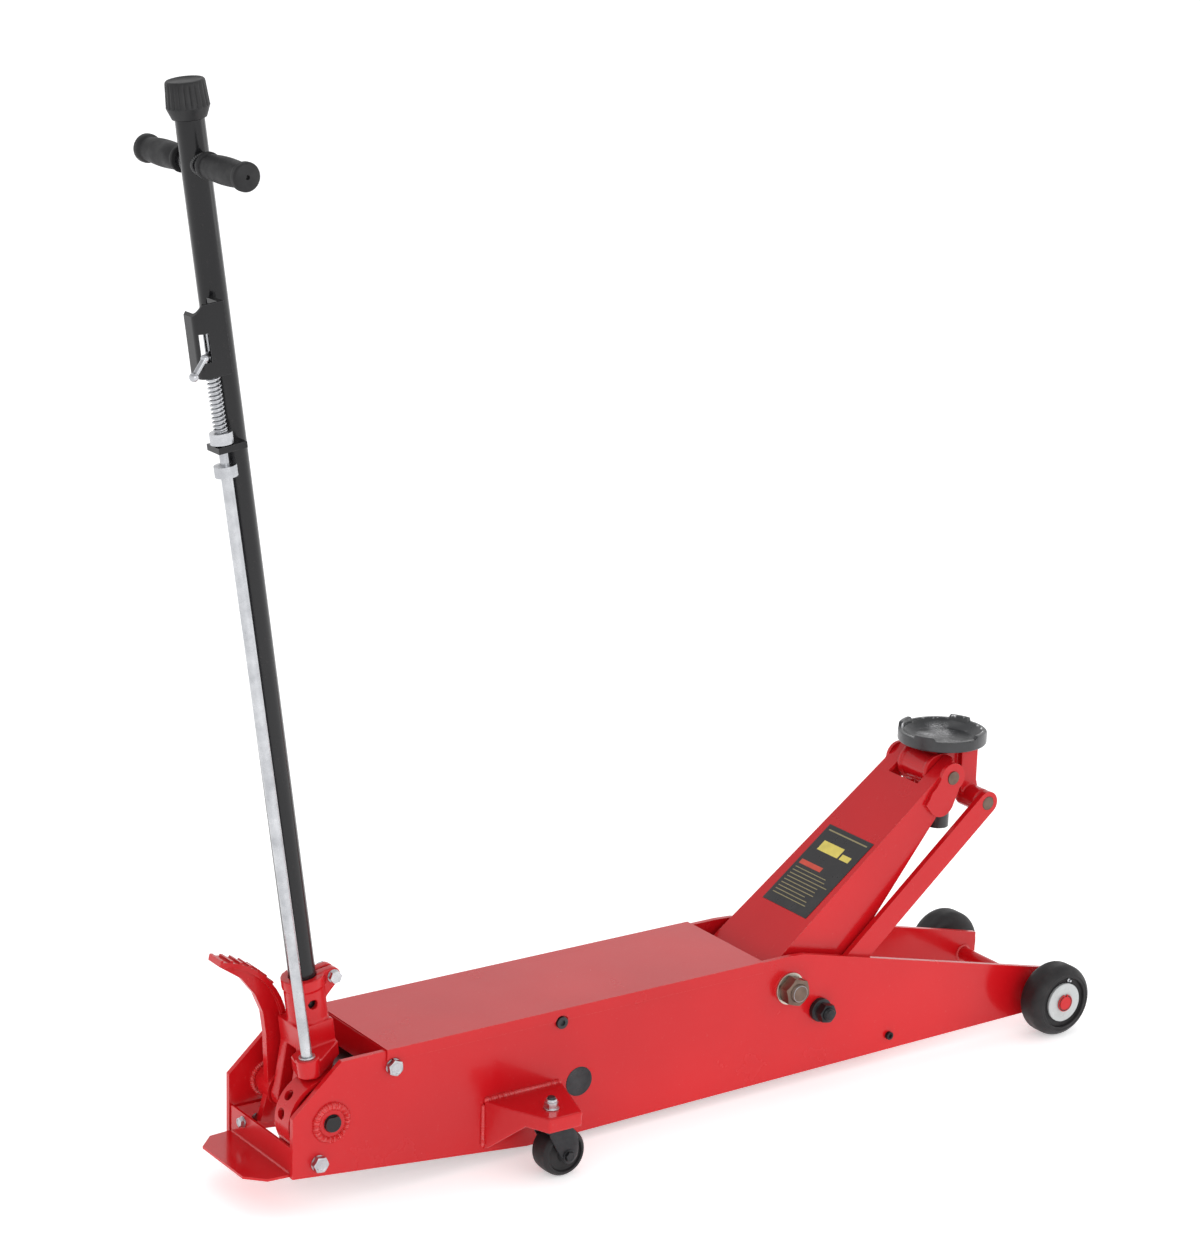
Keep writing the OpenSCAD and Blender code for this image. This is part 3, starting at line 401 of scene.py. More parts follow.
def finish_cad_nodes():
    """Gives each CAD node its slot's material and rounds its sharp edges."""
    for name, slot in SLOTS.items():
        node = NODES[name]
        node.data.materials.clear()
        node.data.materials.append(MATERIALS[slot])
        if slot in ROUND_EDGES:
            weld = node.modifiers.new("weld", "WELD")
            weld.merge_threshold = 0.00002
            flat = node.modifiers.new("flat", "DECIMATE")
            flat.decimate_type = "DISSOLVE"
            flat.angle_limit = math.radians(0.6)
            bevel = node.modifiers.new("round", "BEVEL")
            bevel.width = ROUND_NODES.get(name, ROUND_EDGES[slot])
            bevel.segments = 3 if name in ROUND_NODES else 2
            bevel.limit_method = "ANGLE"
            bevel.angle_limit = math.radians(40)
            normals = node.modifiers.new("normals", "WEIGHTED_NORMAL")
            normals.keep_sharp = True


# ---- Mesh helpers -------------------------------------------------------------------------------

def add_piece(name, vertices, faces, slot, body, sharp=35, material=None):
    """A closed mesh in the row frame that rides on a CAD body."""
    mesh = bpy.data.meshes.new(name)
    mesh.from_pydata([tuple(vertex) for vertex in vertices], [], faces)
    shell = bmesh.new()
    shell.from_mesh(mesh)
    bmesh.ops.remove_doubles(shell, verts=shell.verts, dist=1e-7)
    bmesh.ops.recalc_face_normals(shell, faces=shell.faces)
    shell.to_mesh(mesh)
    shell.free()
    mesh.polygons.foreach_set("use_smooth", [True] * len(mesh.polygons))
    mesh.set_sharp_from_angle(angle=math.radians(sharp))
    mesh.materials.append(material or MATERIALS[slot])
    piece = bpy.data.objects.new(name, mesh)
    bpy.context.scene.collection.objects.link(piece)
    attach(piece, body)
    return piece


def facing(at, axis, turn=0.0):
    """Places a local +Z shape at a point, with +Z along an axis, turned about it in degrees."""
    aim = Vector(axis).normalized().to_track_quat("Z", "Y").to_matrix().to_4x4()
    return Matrix.Translation(Vector(at)) @ aim @ Matrix.Rotation(math.radians(turn), 4, "Z")


def soften(points, radius, steps=3, closed=False):
    """Rounds the corners of an outline of (a, b) points."""
    count = len(points)
    rounded = []
    for i, (x, y) in enumerate(points):
        if not closed and i in (0, count - 1):
            rounded.append((x, y))
            continue
        here = Vector((x, y))
        before = Vector(points[i - 1]) - here
        after = Vector(points[(i + 1) % count]) - here
        reach = min(radius, before.length * 0.45, after.length * 0.45)
        start = here + before.normalized() * reach
        end = here + after.normalized() * reach
        for step in range(steps + 1):
            t = step / steps
            rounded.append(tuple(start * (1 - t) ** 2 + here * 2 * t * (1 - t) + end * t ** 2))
    return rounded


def rings_to_faces(rings):
    """Quads between neighbouring rings of vertex numbers; a ring of one is a pole."""
    faces = []
    for first, second in zip(rings, rings[1:]):
        count = max(len(first), len(second))
        for i in range(count):
            j = (i + 1) % count
            if len(first) == 1 and len(second) == 1:
                continue
            if len(first) == 1:
                faces.append((first[0], second[i], second[j]))
            elif len(second) == 1:
                faces.append((first[i], first[j], second[0]))
            else:
                faces.append((first[i], first[j], second[j], second[i]))
    return faces


def lathe(name, profile, at, axis, slot, body, segments=96, ring=False, shape=None, sharp=35, turn=0.0):
    """Turns (radius, height) points about an axis. ring joins the last point to the first, and
    shape(angle, radius, height) may return a changed (radius, height)."""
    place = facing(at, axis, turn)
    vertices = []
    rings = []
    for radius, height in profile:
        if radius < 1e-9:
            rings.append([len(vertices)])
            vertices.append(place @ Vector((0, 0, height)))
            continue
        rings.append(list(range(len(vertices), len(vertices) + segments)))
        for i in range(segments):
            angle = 2 * math.pi * i / segments
            r, h = shape(angle, radius, height) if shape else (radius, height)
            vertices.append(place @ Vector((r * math.cos(angle), r * math.sin(angle), h)))
    if ring:
        rings.append(rings[0])
    return add_piece(name, vertices, rings_to_faces(rings), slot, body, sharp)


def sweep(name, points, radius, slot, body, sides=8, loop=False, sharp=60):
    """A round bar along points. radius is a number or a function of the point's index."""
    points = [Vector(point) for point in points]
    count = len(points)
    vertices = []
    rings = []
    normal = None
    for i, point in enumerate(points):
        ahead = points[(i + 1) % count] if loop or i + 1 < count else point
        behind = points[i - 1] if loop or i > 0 else point
        along = (ahead - behind).normalized()
        if normal is None:
            normal = along.orthogonal().normalized()
        normal = (normal - along * normal.dot(along)).normalized()
        across = along.cross(normal)
        r = radius(i) if callable(radius) else radius
        rings.append(list(range(len(vertices), len(vertices) + sides)))
        for k in range(sides):
            angle = 2 * math.pi * k / sides
            vertices.append(point + normal * (r * math.cos(angle)) + across * (r * math.sin(angle)))
    if loop:
        rings.append(rings[0])
    faces = rings_to_faces(rings)
    if not loop:
        faces += [tuple(reversed(rings[0])), tuple(rings[-1])]
    return add_piece(name, vertices, faces, slot, body, sharp)


def spaced(points, step, loop=False):
    """Points every step along a line through the given points."""
    points = [Vector(point) for point in points]
    if loop:
        points.append(points[0])
    result = []
    for first, second in zip(points, points[1:]):
        count = max(1, round((second - first).length / step))
        result += [first.lerp(second, i / count) for i in range(count)]
    if not loop:
        result.append(points[-1])
    return result


WELD_STEP = 0.0011
WELD_PITCH = 3.6
WELD_SEED = 7


def weld(name, points, size, body, slot="red_paint", loop=False):
    """A rippled bead half sunk into the corner that it fills."""
    dice = random.Random(f"{WELD_SEED}{name}")
    path = spaced(points, WELD_STEP, loop)
    last = len(path) - 1
    drift = [dice.uniform(-1, 1) for _ in range(len(path) // 9 + 3)]

    def radius(i):
        ripple = 1 + 0.2 * math.sin(2 * math.pi * i / WELD_PITCH) + 0.05 * math.sin(1.7 * i)
        slow = drift[i // 9] * (1 - i % 9 / 9) + drift[i // 9 + 1] * (i % 9 / 9)
        taper = 1.0 if loop else min(1.0, 0.45 + 0.2 * min(i, last - i))
        return size * ripple * (1 + 0.12 * slow) * taper

    bead = sweep(name, path, radius, slot, body, sides=10, loop=loop, sharp=80)
    # The bead material's lighter base colour is painted highlight
    bead.data.materials[0] = WELD_GLOSS_AND_HIGHLIGHT[slot]


def circle(at, axis, radius, count=180):
    place = facing(at, axis)
    return [place @ Vector((radius * math.cos(2 * math.pi * i / count),
                            radius * math.sin(2 * math.pi * i / count), 0)) for i in range(count)]


def prism(name, outline, place, thick, slot, body):
    """A flat outline of (a, b) points, thick along the placing matrix's +Z."""
    count = len(outline)
    vertices = [place @ Vector((a, b, level)) for level in (0.0, thick) for a, b in outline]
    faces = [tuple(reversed(range(count))), tuple(range(count, 2 * count))]
    faces += [(i, (i + 1) % count, count + (i + 1) % count, count + i) for i in range(count)]
    return add_piece(name, vertices, faces, slot, body, sharp=30)


def round_edges(piece, width):
    edge = piece.modifiers.new("round", "BEVEL")
    edge.width = width
    edge.segments = 2
    edge.angle_limit = math.radians(50)


CAST_FACES_KEPT = 0.3


def cast(name, node, body, voxel, passes):
    """A casting or pressing: the node's own shape with every corner melted round."""
    solid = bpy.data.objects.new(name, NODES[node].data.copy())
    bpy.context.scene.collection.objects.link(solid)
    remesh = solid.modifiers.new("remesh", "REMESH")
    remesh.mode = "VOXEL"
    remesh.voxel_size = voxel
    melt = solid.modifiers.new("melt", "SMOOTH")
    melt.factor = 0.5
    melt.iterations = passes
    fewer = solid.modifiers.new("fewer", "DECIMATE")
    fewer.ratio = CAST_FACES_KEPT
    shape = bpy.data.meshes.new_from_object(solid.evaluated_get(bpy.context.evaluated_depsgraph_get()))
    solid.modifiers.clear()
    solid.data = shape
    shape.materials.clear()
    slot = SLOTS[node]
    shape.materials.append(MATERIALS[slot])
    shape.polygons.foreach_set("use_smooth", [True] * len(shape.polygons))
    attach(solid, body)
    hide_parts(node)


HEAD_DISH = 0.0006


def hex_body(name, at, axis, flats, height, slot, body, turn=0.0, hole=0.0, both=False):
    """A hexagon head or nut along an axis, with its corners turned off at 30 degrees."""
    face = flats / 2 * 0.95
    slope = math.tan(math.radians(30))
    segments = 72

    def hexagon(angle, radius, level):
        corner = flats / 2 / math.cos((angle + math.pi / 6) % (math.pi / 3) - math.pi / 6)
        if level == "high":
            return corner, height - (corner - face) * slope
        if level == "low":
            return corner, (corner - face) * slope if both else 0.0
        return radius, level

    # Level names stand for heights that change round the head
    profile = [(face, 0.0), (1.0, "low"), (1.0, "high"), (face, height)]
    if hole:
        profile = [(hole, 0.0)] + profile + [(hole * 1.08, height), (hole, height - hole * 0.08)]
        return lathe(name, profile, at, axis, slot, body, segments, ring=True, shape=hexagon, turn=turn)
    profile = [(0.0, 0.0)] + profile
    profile += [(face * 0.82, height), (face * 0.74, height - HEAD_DISH), (0.0, height - HEAD_DISH)]
    return lathe(name, profile, at, axis, slot, body, segments, shape=hexagon, turn=turn)


THREAD_PITCH = 0.0018


def stud_end(name, at, axis, radius, length, slot, body):
    """The threaded, chamfered end of a stud, standing out from a point."""
    pitch = THREAD_PITCH
    count = max(2, int(length / pitch) - 1)
    profile = [(0.0, 0.0), (radius, 0.0)]
    for i in range(count):
        profile += [(radius, (i + 0.35) * pitch), (radius - pitch * 0.5, (i + 0.8) * pitch)]
    profile += [(radius * 0.98, length - radius * 0.16), (radius * 0.84, length), (0.0, length)]
    lathe(name, profile, at, axis, slot, body, 64, sharp=30)


def washer(name, at, axis, outer, inner, thick, slot, body):
    profile = soften([(inner, 0), (outer, 0), (outer, thick), (inner, thick)], thick * 0.3, 2, True)
    lathe(name, profile, at, axis, slot, body, 72, ring=True)


CLOSED_TURNS = 1.0
COIL_STEPS = 20


def coil(name, foot, top, radius, wire, turns, body):
    """A compression spring with closed ends between two points."""
    foot, top = Vector(foot), Vector(top)
    length = (top - foot).length
    place = facing(foot, top - foot)
    closed_rise = CLOSED_TURNS * wire * 2.0
    points = []
    for i in range(round(turns * COIL_STEPS) + 1):
        turn = i / COIL_STEPS
        rise = (turn - CLOSED_TURNS) / (turns - 2 * CLOSED_TURNS)
        if turn < CLOSED_TURNS:
            height = wire + wire * 2.0 * turn
        elif turn > turns - CLOSED_TURNS:
            height = length - wire - wire * 2.0 * (turns - turn)
        else:
            height = wire + closed_rise + rise * (length - 2 * wire - 2 * closed_rise)
        angle = 2 * math.pi * turn
        points.append(place @ Vector((radius * math.cos(angle), radius * math.sin(angle), height)))
    return sweep(name, points, wire, "zinc_plate", body, sharp=80)


# ---- Fasteners ----------------------------------------------------------------------------------

def out(side):
    return Vector((0, side, 0))


def add_pivot_fasteners():
    """Main pivot nuts and the rods' dark pivot bolts, on both plates."""
    washer_face = high("arm_pivot_washers")[1]
    stud_tip = high("arm_pivot_shaft")[1]
    bolt_tip = high("rod_pivot_bolts")[1]
    for word, side in SIDES.items():
        centre = Vector((ARM_AXIS.x, 0, ARM_AXIS.z))
        hex_body(f"arm_nut_{word}", centre + out(side) * (washer_face + 0.0002), out(side),
                             0.041, 0.0208, "phosphated_steel", "chassis", turn=12, hole=0.0139, both=True)
        stud_end(f"arm_stud_{word}", centre + out(side) * (washer_face + 0.008), out(side), 0.0142,
                 stud_tip - washer_face - 0.0075, "phosphated_steel", "chassis")
        centre = Vector((ROD_AXIS.x, 0, ROD_AXIS.z))
        collar = soften([(0, 0), (0.019, 0), (0.019, 0.0085), (0.0165, 0.0092), (0.0145, 0.0096),
                         (0.0145, 0.0125), (0, 0.0125)], 0.0012, 3)
        lathe(f"rod_collar_{word}", collar, centre + out(side) * PLATE_OUT, out(side),
                           "black_oxide", "chassis")
        hex_body(f"rod_nut_{word}", centre + out(side) * (PLATE_OUT + 0.012), out(side),
                              0.028, 0.0142, "black_oxide", "chassis", turn=20, both=True)
        stud_end(f"rod_stud_{word}", centre + out(side) * (PLATE_OUT + 0.0255), out(side), 0.0095,
                 bolt_tip - PLATE_OUT - 0.0257, "black_oxide", "chassis")
        rod_pin_foot = high("lift_arm")[1] + 0.0004
        lathe(f"rod_pin_{word}", [(0, 0), (0.012, 0), (0.012, PLATE_OUT - rod_pin_foot),
                                               (0, PLATE_OUT - rod_pin_foot)],
                           centre + out(side) * rod_pin_foot, out(side), "black_oxide", "chassis")
    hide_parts("arm_pivot_nuts")
    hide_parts("rod_pivot_bolts")


BOLT_FLATS = 0.022
UPPER_BOLT = (0.165, 0.1945)
LOWER_BOLT = (0.042, 0.072)
STEP_BOLT = (0.0, 0.050, 0.088)


def add_zinc_bolts():
    """Hex bolts of the rear frame, the step's bolt and the casters' lock nuts."""
    for word, side in SIDES.items():
        for label, (station, height), turn in (("upper", UPPER_BOLT, 8), ("lower", LOWER_BOLT, 24)):
            at = Vector((REAR_X + station, side * PLATE_OUT, height))
            washer(f"{label}_washer_{word}", at, out(side), 0.0122, 0.004, 0.0019, "zinc_plate", "chassis")
            hex_body(f"{label}_bolt_{word}", at + out(side) * 0.0018, out(side), BOLT_FLATS,
                                 0.0092, "zinc_plate", "chassis", turn=turn)
        swivel = pivot(f"caster_swivel_{word}")
        plate = Vector((swivel.x, swivel.y, high(f"caster_bracket_{word}")[2]))
        up = Vector((0, 0, 1))
        washer(f"stud_washer_{word}", plate, up, 0.0122, 0.0062, 0.0022, "zinc_plate", "chassis")
        hex_body(f"stud_nut_{word}", plate + up * 0.0022, up, 0.019, 0.0095, "zinc_plate",
                             "chassis", turn=10, hole=0.0063)
        crown = soften([(0.0062, 0.0112), (0.0088, 0.0112), (0.0088, 0.0142), (0.0074, 0.0156),
                        (0.0062, 0.0156)], 0.0009, 3, True)
        lathe(f"stud_nut_crown_{word}", crown, plate, up, "zinc_plate", "chassis", ring=True)
    at = Vector((REAR_X + STEP_BOLT[0] + 0.0019, STEP_BOLT[1], STEP_BOLT[2]))
    back = Vector((-1, 0, 0))
    washer("step_washer", at, back, 0.0085, 0.003, 0.0016, "zinc_plate", "chassis")
    hex_body("step_bolt", at + back * 0.0014, back, 0.0135, 0.0068, "zinc_plate", "chassis",
                         turn=5)
    shank = [(0, 0), (0.005, 0), (0.005, 0.012), (0.0044, 0.0128), (0, 0.0128)]
    lathe("step_shank", shank, at, (1, 0, 0), "zinc_plate", "chassis", 48)
    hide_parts("hex_bolts")


# ---- Welds --------------------------------------------------------------------------------------

def add_welds():
    """Painted beads at the caster brackets, the yoke shaft's bosses, the front axle and the step."""
    for word, side in SIDES.items():
        lowest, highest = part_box(f"caster_bracket_{word}")
        wall = side * (PLATE_OUT + 0.0008)
        top = highest[2] + 0.0004
        weld(f"bracket_weld_{word}", [(lowest[0] + 0.001, wall, top), (highest[0] - 0.002, wall, top)],
             0.0048, "chassis")
        rear = lowest[0] - 0.0004
        weld(f"gusset_weld_{word}", [(rear, wall, 0.032), (rear, wall, top - 0.006)], 0.0036, "chassis")
        boss = Vector((YOKE_AXIS.x, side * (PLATE_OUT + 0.0004), YOKE_AXIS.z))
        weld(f"boss_weld_{word}", circle(boss, out(side), 0.0250), 0.0056, "chassis", loop=True)
        boss = Vector((YOKE_AXIS.x, side * (PLATE_IN - 0.0004), YOKE_AXIS.z))
        weld(f"boss_inner_weld_{word}", circle(boss, out(side), 0.0243), 0.0036, "chassis", loop=True)
        axle = Vector((pivot("wheel_spin_left").x, side * (PLATE_IN - 0.0002), pivot("wheel_spin_left").z))
        weld(f"axle_weld_{word}", circle(axle, out(side), 0.0125, 90), 0.0028, "chassis", loop=True)
        step_x = low("rear_step")[0] + 0.062
        weld(f"step_weld_{word}", [(step_x + 0.0045, side * (PLATE_IN - 0.0006), 0.061),
                                   (step_x + 0.0045, side * (PLATE_IN - 0.0006), 0.097)], 0.0022, "chassis")
    weld("step_fold_weld", [(REAR_X + 0.0018, low("rear_step")[1] + 0.004, 0.0604),
                            (REAR_X + 0.0018, high("rear_step")[1] - 0.004, 0.0604)], 0.0021, "chassis")


# ---- Handle -------------------------------------------------------------------------------------

TUBE_AHEAD = (pivot("release_turn") - YOKE_AXIS).dot(HANDLE_AHEAD)
TUBE_RADIUS = 0.020
BAR_UP = (middle("cross_bar") - YOKE_AXIS).dot(HANDLE_UP)
BAR_RADIUS = 0.0125
GRIP_OUT = high("handle_grips")[1]
GRIP_IN = 0.033
KNOB_TOP = 1.492
KNOB_HEIGHT = 0.051


def add_knob():
    """Fluted cap with a plain skirt and a domed top."""
    flutes = 22

    def fluted(angle, radius, height):
        depth = 0.0014 if 0.0165 < height < 0.047 else 0.0
        wave = abs(math.sin(flutes * angle / 2)) ** 0.7
        return radius - depth * (1 - wave), height

    outline = [(0.0062, 0.02), (0.0062, 0.0), (0.0235, 0.0), (0.0292, 0.0145), (0.0295, 0.0155)]
    outline += [(0.0293 - 0.0021 * i / 8, 0.017 + 0.0296 * i / 8) for i in range(9)]
    outline += [(0.0266, 0.0488), (0.0252, 0.0504), (0.0215, 0.0508), (0.0202, 0.0499), (0.0, 0.0502)]
    knob = lathe("fluted_knob", outline, handle_point(TUBE_AHEAD, 0, KNOB_TOP - KNOB_HEIGHT), HANDLE_UP,
                 "knob_plastic", "release", segments=flutes * 12, shape=fluted, sharp=50)
    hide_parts("release_knob")


def add_grips():
    """Barrel grips with an end flange, ribs by the tube and a small hole in the end."""
    length = GRIP_OUT - GRIP_IN
    for word, side in SIDES.items():
        barrel = [(0.0163 + 0.0025 * math.sin(math.pi * i / 14) ** 0.8, 0.0095 + (length - 0.026) * i / 14)
                  for i in range(15)]
        profile = soften([(0.0126, 0), (0.0186, 0), (0.0192, 0.003), (0.0186, 0.0062), (0.0164, 0.0072)],
                         0.0012, 3)
        profile += barrel
        profile += soften([(0.0166, length - 0.0145), (0.0186, length - 0.013), (0.0199, length - 0.0105),
                           (0.0199, length - 0.003), (0.0178, length - 0.0004), (0.0034, length),
                           (0.0029, length - 0.0008)], 0.0012, 3)
        profile += [(0.0029, length - 0.0045), (0.0, length - 0.0045)]
        grip = lathe(f"grip_{word}", [(0.0126, length - 0.006), (0.0126, 0.0)] + profile[1:],
                     handle_point(TUBE_AHEAD, side * GRIP_IN, BAR_UP), out(side), "grip_rubber", "handle",
                     segments=80, sharp=50)
        if side < 0:
            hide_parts("handle_grips")


def add_handle_welds():
    """Black beads where the cross bar, the lock guide and the rod's tab meet the tube."""
    for word, side in SIDES.items():
        path = []
        for i in range(120):
            angle = 2 * math.pi * i / 120
            ahead = (BAR_RADIUS + 0.0006) * math.cos(angle)
            depth = math.sqrt(TUBE_RADIUS ** 2 - ahead ** 2)
            rise = (BAR_RADIUS + 0.0006) * math.sin(angle)
            path.append(handle_point(TUBE_AHEAD + ahead, side * depth, BAR_UP + rise))
        weld(f"bar_weld_{word}", path, 0.003, "handle", "black_gloss", loop=True)
    for label, foot, top in (("guide", 1.108, 1.192), ("tab", 0.996, 1.003)):
        behind = TUBE_AHEAD - 0.0199
        weld(f"{label}_weld", [handle_point(behind, -0.0042, foot), handle_point(behind, -0.0042, top)],
             0.0026, "handle", "black_gloss")
        weld(f"{label}_weld_front", [handle_point(TUBE_AHEAD - 0.0105, -0.0178, foot),
                                     handle_point(TUBE_AHEAD - 0.0105, -0.0178, top)],
             0.0026, "handle", "black_gloss")


LOCK_UP = Vector(JOINTS["lock_pull"]["axis"]).normalized()
LOCK_FOOT = handle_point(-0.008, -0.065, 0.094)


def add_springs():
    """Round-wire springs in place of the CAD springs."""
    foot = LOCK_FOOT + LOCK_UP * 0.9282
    top = LOCK_FOOT + LOCK_UP * 1.0066
    spring = coil("lock_coil", foot, top, 0.0087, 0.0013, 14, "handle")
    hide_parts("lock_spring")
    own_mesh(spring)

    lowest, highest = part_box("pump_spring")
    centre = middle("pump_spring")
    foot = Vector((highest[0], centre.y, centre.z))
    top = Vector((lowest[0], centre.y, centre.z))
    spring = coil("pump_coil", foot, top, 0.014, 0.0013, 8, "chassis")
    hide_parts("pump_spring")
    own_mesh(spring)

    lowest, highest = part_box("return_springs")
    centre = middle("return_springs")
    for word, side in SIDES.items():
        foot = Vector((lowest[0], side * 0.060, centre.z))
        top = Vector((highest[0], side * 0.060, centre.z))
        spring = coil(f"return_coil_{word}", foot, top, 0.007, 0.0016, 42, "chassis")
        if side < 0:
            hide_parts("return_springs")
        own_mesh(spring)


def add_rod_bush():
    """Thin ring where the lock rod enters the yoke's boss."""
    profile = soften([(0.0083, 0), (0.0118, 0), (0.0118, 0.0030), (0.0083, 0.0030)], 0.0007, 2, True)
    lathe("rod_bush", profile, LOCK_FOOT + LOCK_UP * 0.0002, LOCK_UP, "zinc_plate", "handle", ring=True)


# ---- Saddle and castings ------------------------------------------------------------------------

LUG_TURN = 26
LUG_WIDE = 29
LUG_TALL = 0.0055


def add_saddle():
    """Round dish with a tall rim band, four lugs on the rim and a hollow bowl."""
    rim = (high("saddle")[1] - low("saddle")[1]) / 2 + 0.0001
    floor = JOINTS["saddle_swivel"]["pos_m"][2] - low("saddle")[2]
    at = Vector((pivot("saddle_swivel").x, 0, low("saddle")[2]))

    def lugged(angle, radius, height):
        turned = (math.degrees(angle) - LUG_TURN + 45) % 90 - 45
        on_lug = min(1.0, max(0.0, (LUG_WIDE / 2 + 1 - abs(turned)) / 1.6))
        on_rim = 1.0 if height > 0.0236 and radius > rim - 0.0078 else 0.0
        return radius, height + LUG_TALL * on_lug * on_rim

    profile = [(0, 0), (0.024, 0)]
    profile += soften([(0.024, 0.0), (rim - 0.005, 0.0072), (rim - 0.0005, 0.0085), (rim, 0.0105),
                       (rim, 0.0244), (rim - 0.0006, 0.0254)], 0.0012, 3)[1:]
    profile += [(rim - 0.0012, 0.0256), (rim - 0.0056, 0.0256), (rim - 0.0066, 0.0252),
                (rim - 0.0076, 0.0240)]
    for i in range(1, 13):
        share = i / 12
        profile.append((rim - 0.0078 - 0.0165 * share, floor + (0.0232 - floor) * (1 - share) ** 1.7))
    profile += [(0.030, floor - 0.0003), (0.0, floor - 0.0004)]
    dish = lathe("saddle_dish", profile, at, (0, 0, 1), "worn_black", "saddle", 240, shape=lugged, sharp=32)
    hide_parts("saddle")


def add_castings():
    """The yoke, both caster brackets and the saddle bracket, with soft corners."""
    cast("yoke_casting", "handle_yoke", "handle", 0.0014, 3)
    for word in SIDES:
        cast(f"caster_bracket_round_{word}", f"caster_bracket_{word}", "chassis", 0.0018, 9)
    cast("bracket_casting", "saddle_bracket", "saddle_bracket", 0.0013, 3)


# ---- Wheels -------------------------------------------------------------------------------------

INNER_SHOULDER = 0.016
OUTER_SHOULDER = 0.0195


def add_front_wheels():
    """Tyre, hub disc, circlip and grease nipple, on each side."""
    for word, side in SIDES.items():
        tyre_low, tyre_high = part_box(f"tyre_{word}")
        inner = min(abs(tyre_low[1]), abs(tyre_high[1]))
        width = abs(tyre_high[1] - tyre_low[1])
        radius = (tyre_high[0] - tyre_low[0]) / 2
        centre = pivot(f"wheel_spin_{word}")
        at = Vector((centre.x, side * inner, centre.z))
        # Round inner shoulder, crowned tread, and an outer shoulder that ends in a crisp corner
        profile = [(0.0305, 0.002), (0.034, 0.0005)]
        for i in range(9):
            angle = math.radians(-90 + 90 * i / 8)
            profile.append((radius - INNER_SHOULDER + INNER_SHOULDER * math.cos(angle),
                            INNER_SHOULDER + 0.0158 * math.sin(angle)))
        for i in range(11):
            angle = math.radians(64 * i / 10)
            profile.append((radius - OUTER_SHOULDER + OUTER_SHOULDER * math.cos(angle),
                            width - 0.018 + OUTER_SHOULDER * math.sin(angle)))
        profile += [(0.0478, width - 0.0001), (0.0474, width - 0.0006), (0.0452, width - 0.0008)]
        profile += soften([(0.0436, width - 0.0002), (0.0422, width - 0.0004), (0.0412, width - 0.0058),
                           (0.0305, width - 0.0058)], 0.0012, 3)
        tyre = lathe(f"front_tyre_{word}", profile, at, out(side), "tyre_rubber", f"wheel_{word}", 144,
                     ring=True, sharp=28)
        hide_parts(f"tyre_{word}")
        hub = soften([(0.0108 + 0.00025, 0.0), (0.018, 0.0), (0.018, 0.004), (0.0301, 0.0042),
                      (0.0301, width - 0.006), (0.0323, width - 0.006), (0.0325, width - 0.0018),
                      (0.0315, width - 0.0009), (0.0255, width - 0.0012), (0.0235, width - 0.0009),
                      (0.0135, width - 0.0009), (0.0112, width - 0.0016)], 0.0006, 2, True)
        disc = lathe(f"hub_disc_{word}", hub, at, out(side), "hub_grey", f"wheel_{word}", 120, ring=True)
        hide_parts(f"wheel_hub_{word}")
        clip = []
        for i in range(60):
            angle = math.radians(112 + 316 * i / 59)
            clip.append(Vector((centre.x + 0.0125 * math.cos(angle), side * (inner + width + 0.0014),
                                centre.z + 0.0125 * math.sin(angle))))
        sweep(f"circlip_{word}", clip, 0.0011, "black_oxide", "chassis")
        nipple = Vector((centre.x + 0.010, side * (inner + width - 0.0068), centre.z + 0.0358))
        tip = [(0, 0), (0.0032, 0), (0.0032, 0.003), (0.0016, 0.0038), (0.0023, 0.0056), (0.0017, 0.0074),
               (0, 0.0078)]
        lathe(f"nipple_{word}", tip, nipple, out(side), "zinc_plate", f"wheel_{word}", 32)


CROWN_UNDER = 0.0762
CROWN_THICK = 0.004
CHEEK_GAP = 0.0006
CHEEK_THICK = 0.0028
CHEEK_BULGE = 0.0034
CHEEK_SHARES = (0.0, 0.3, 0.55, 0.75, 0.9, 1.0)
AXLE_FLATS = 0.0135


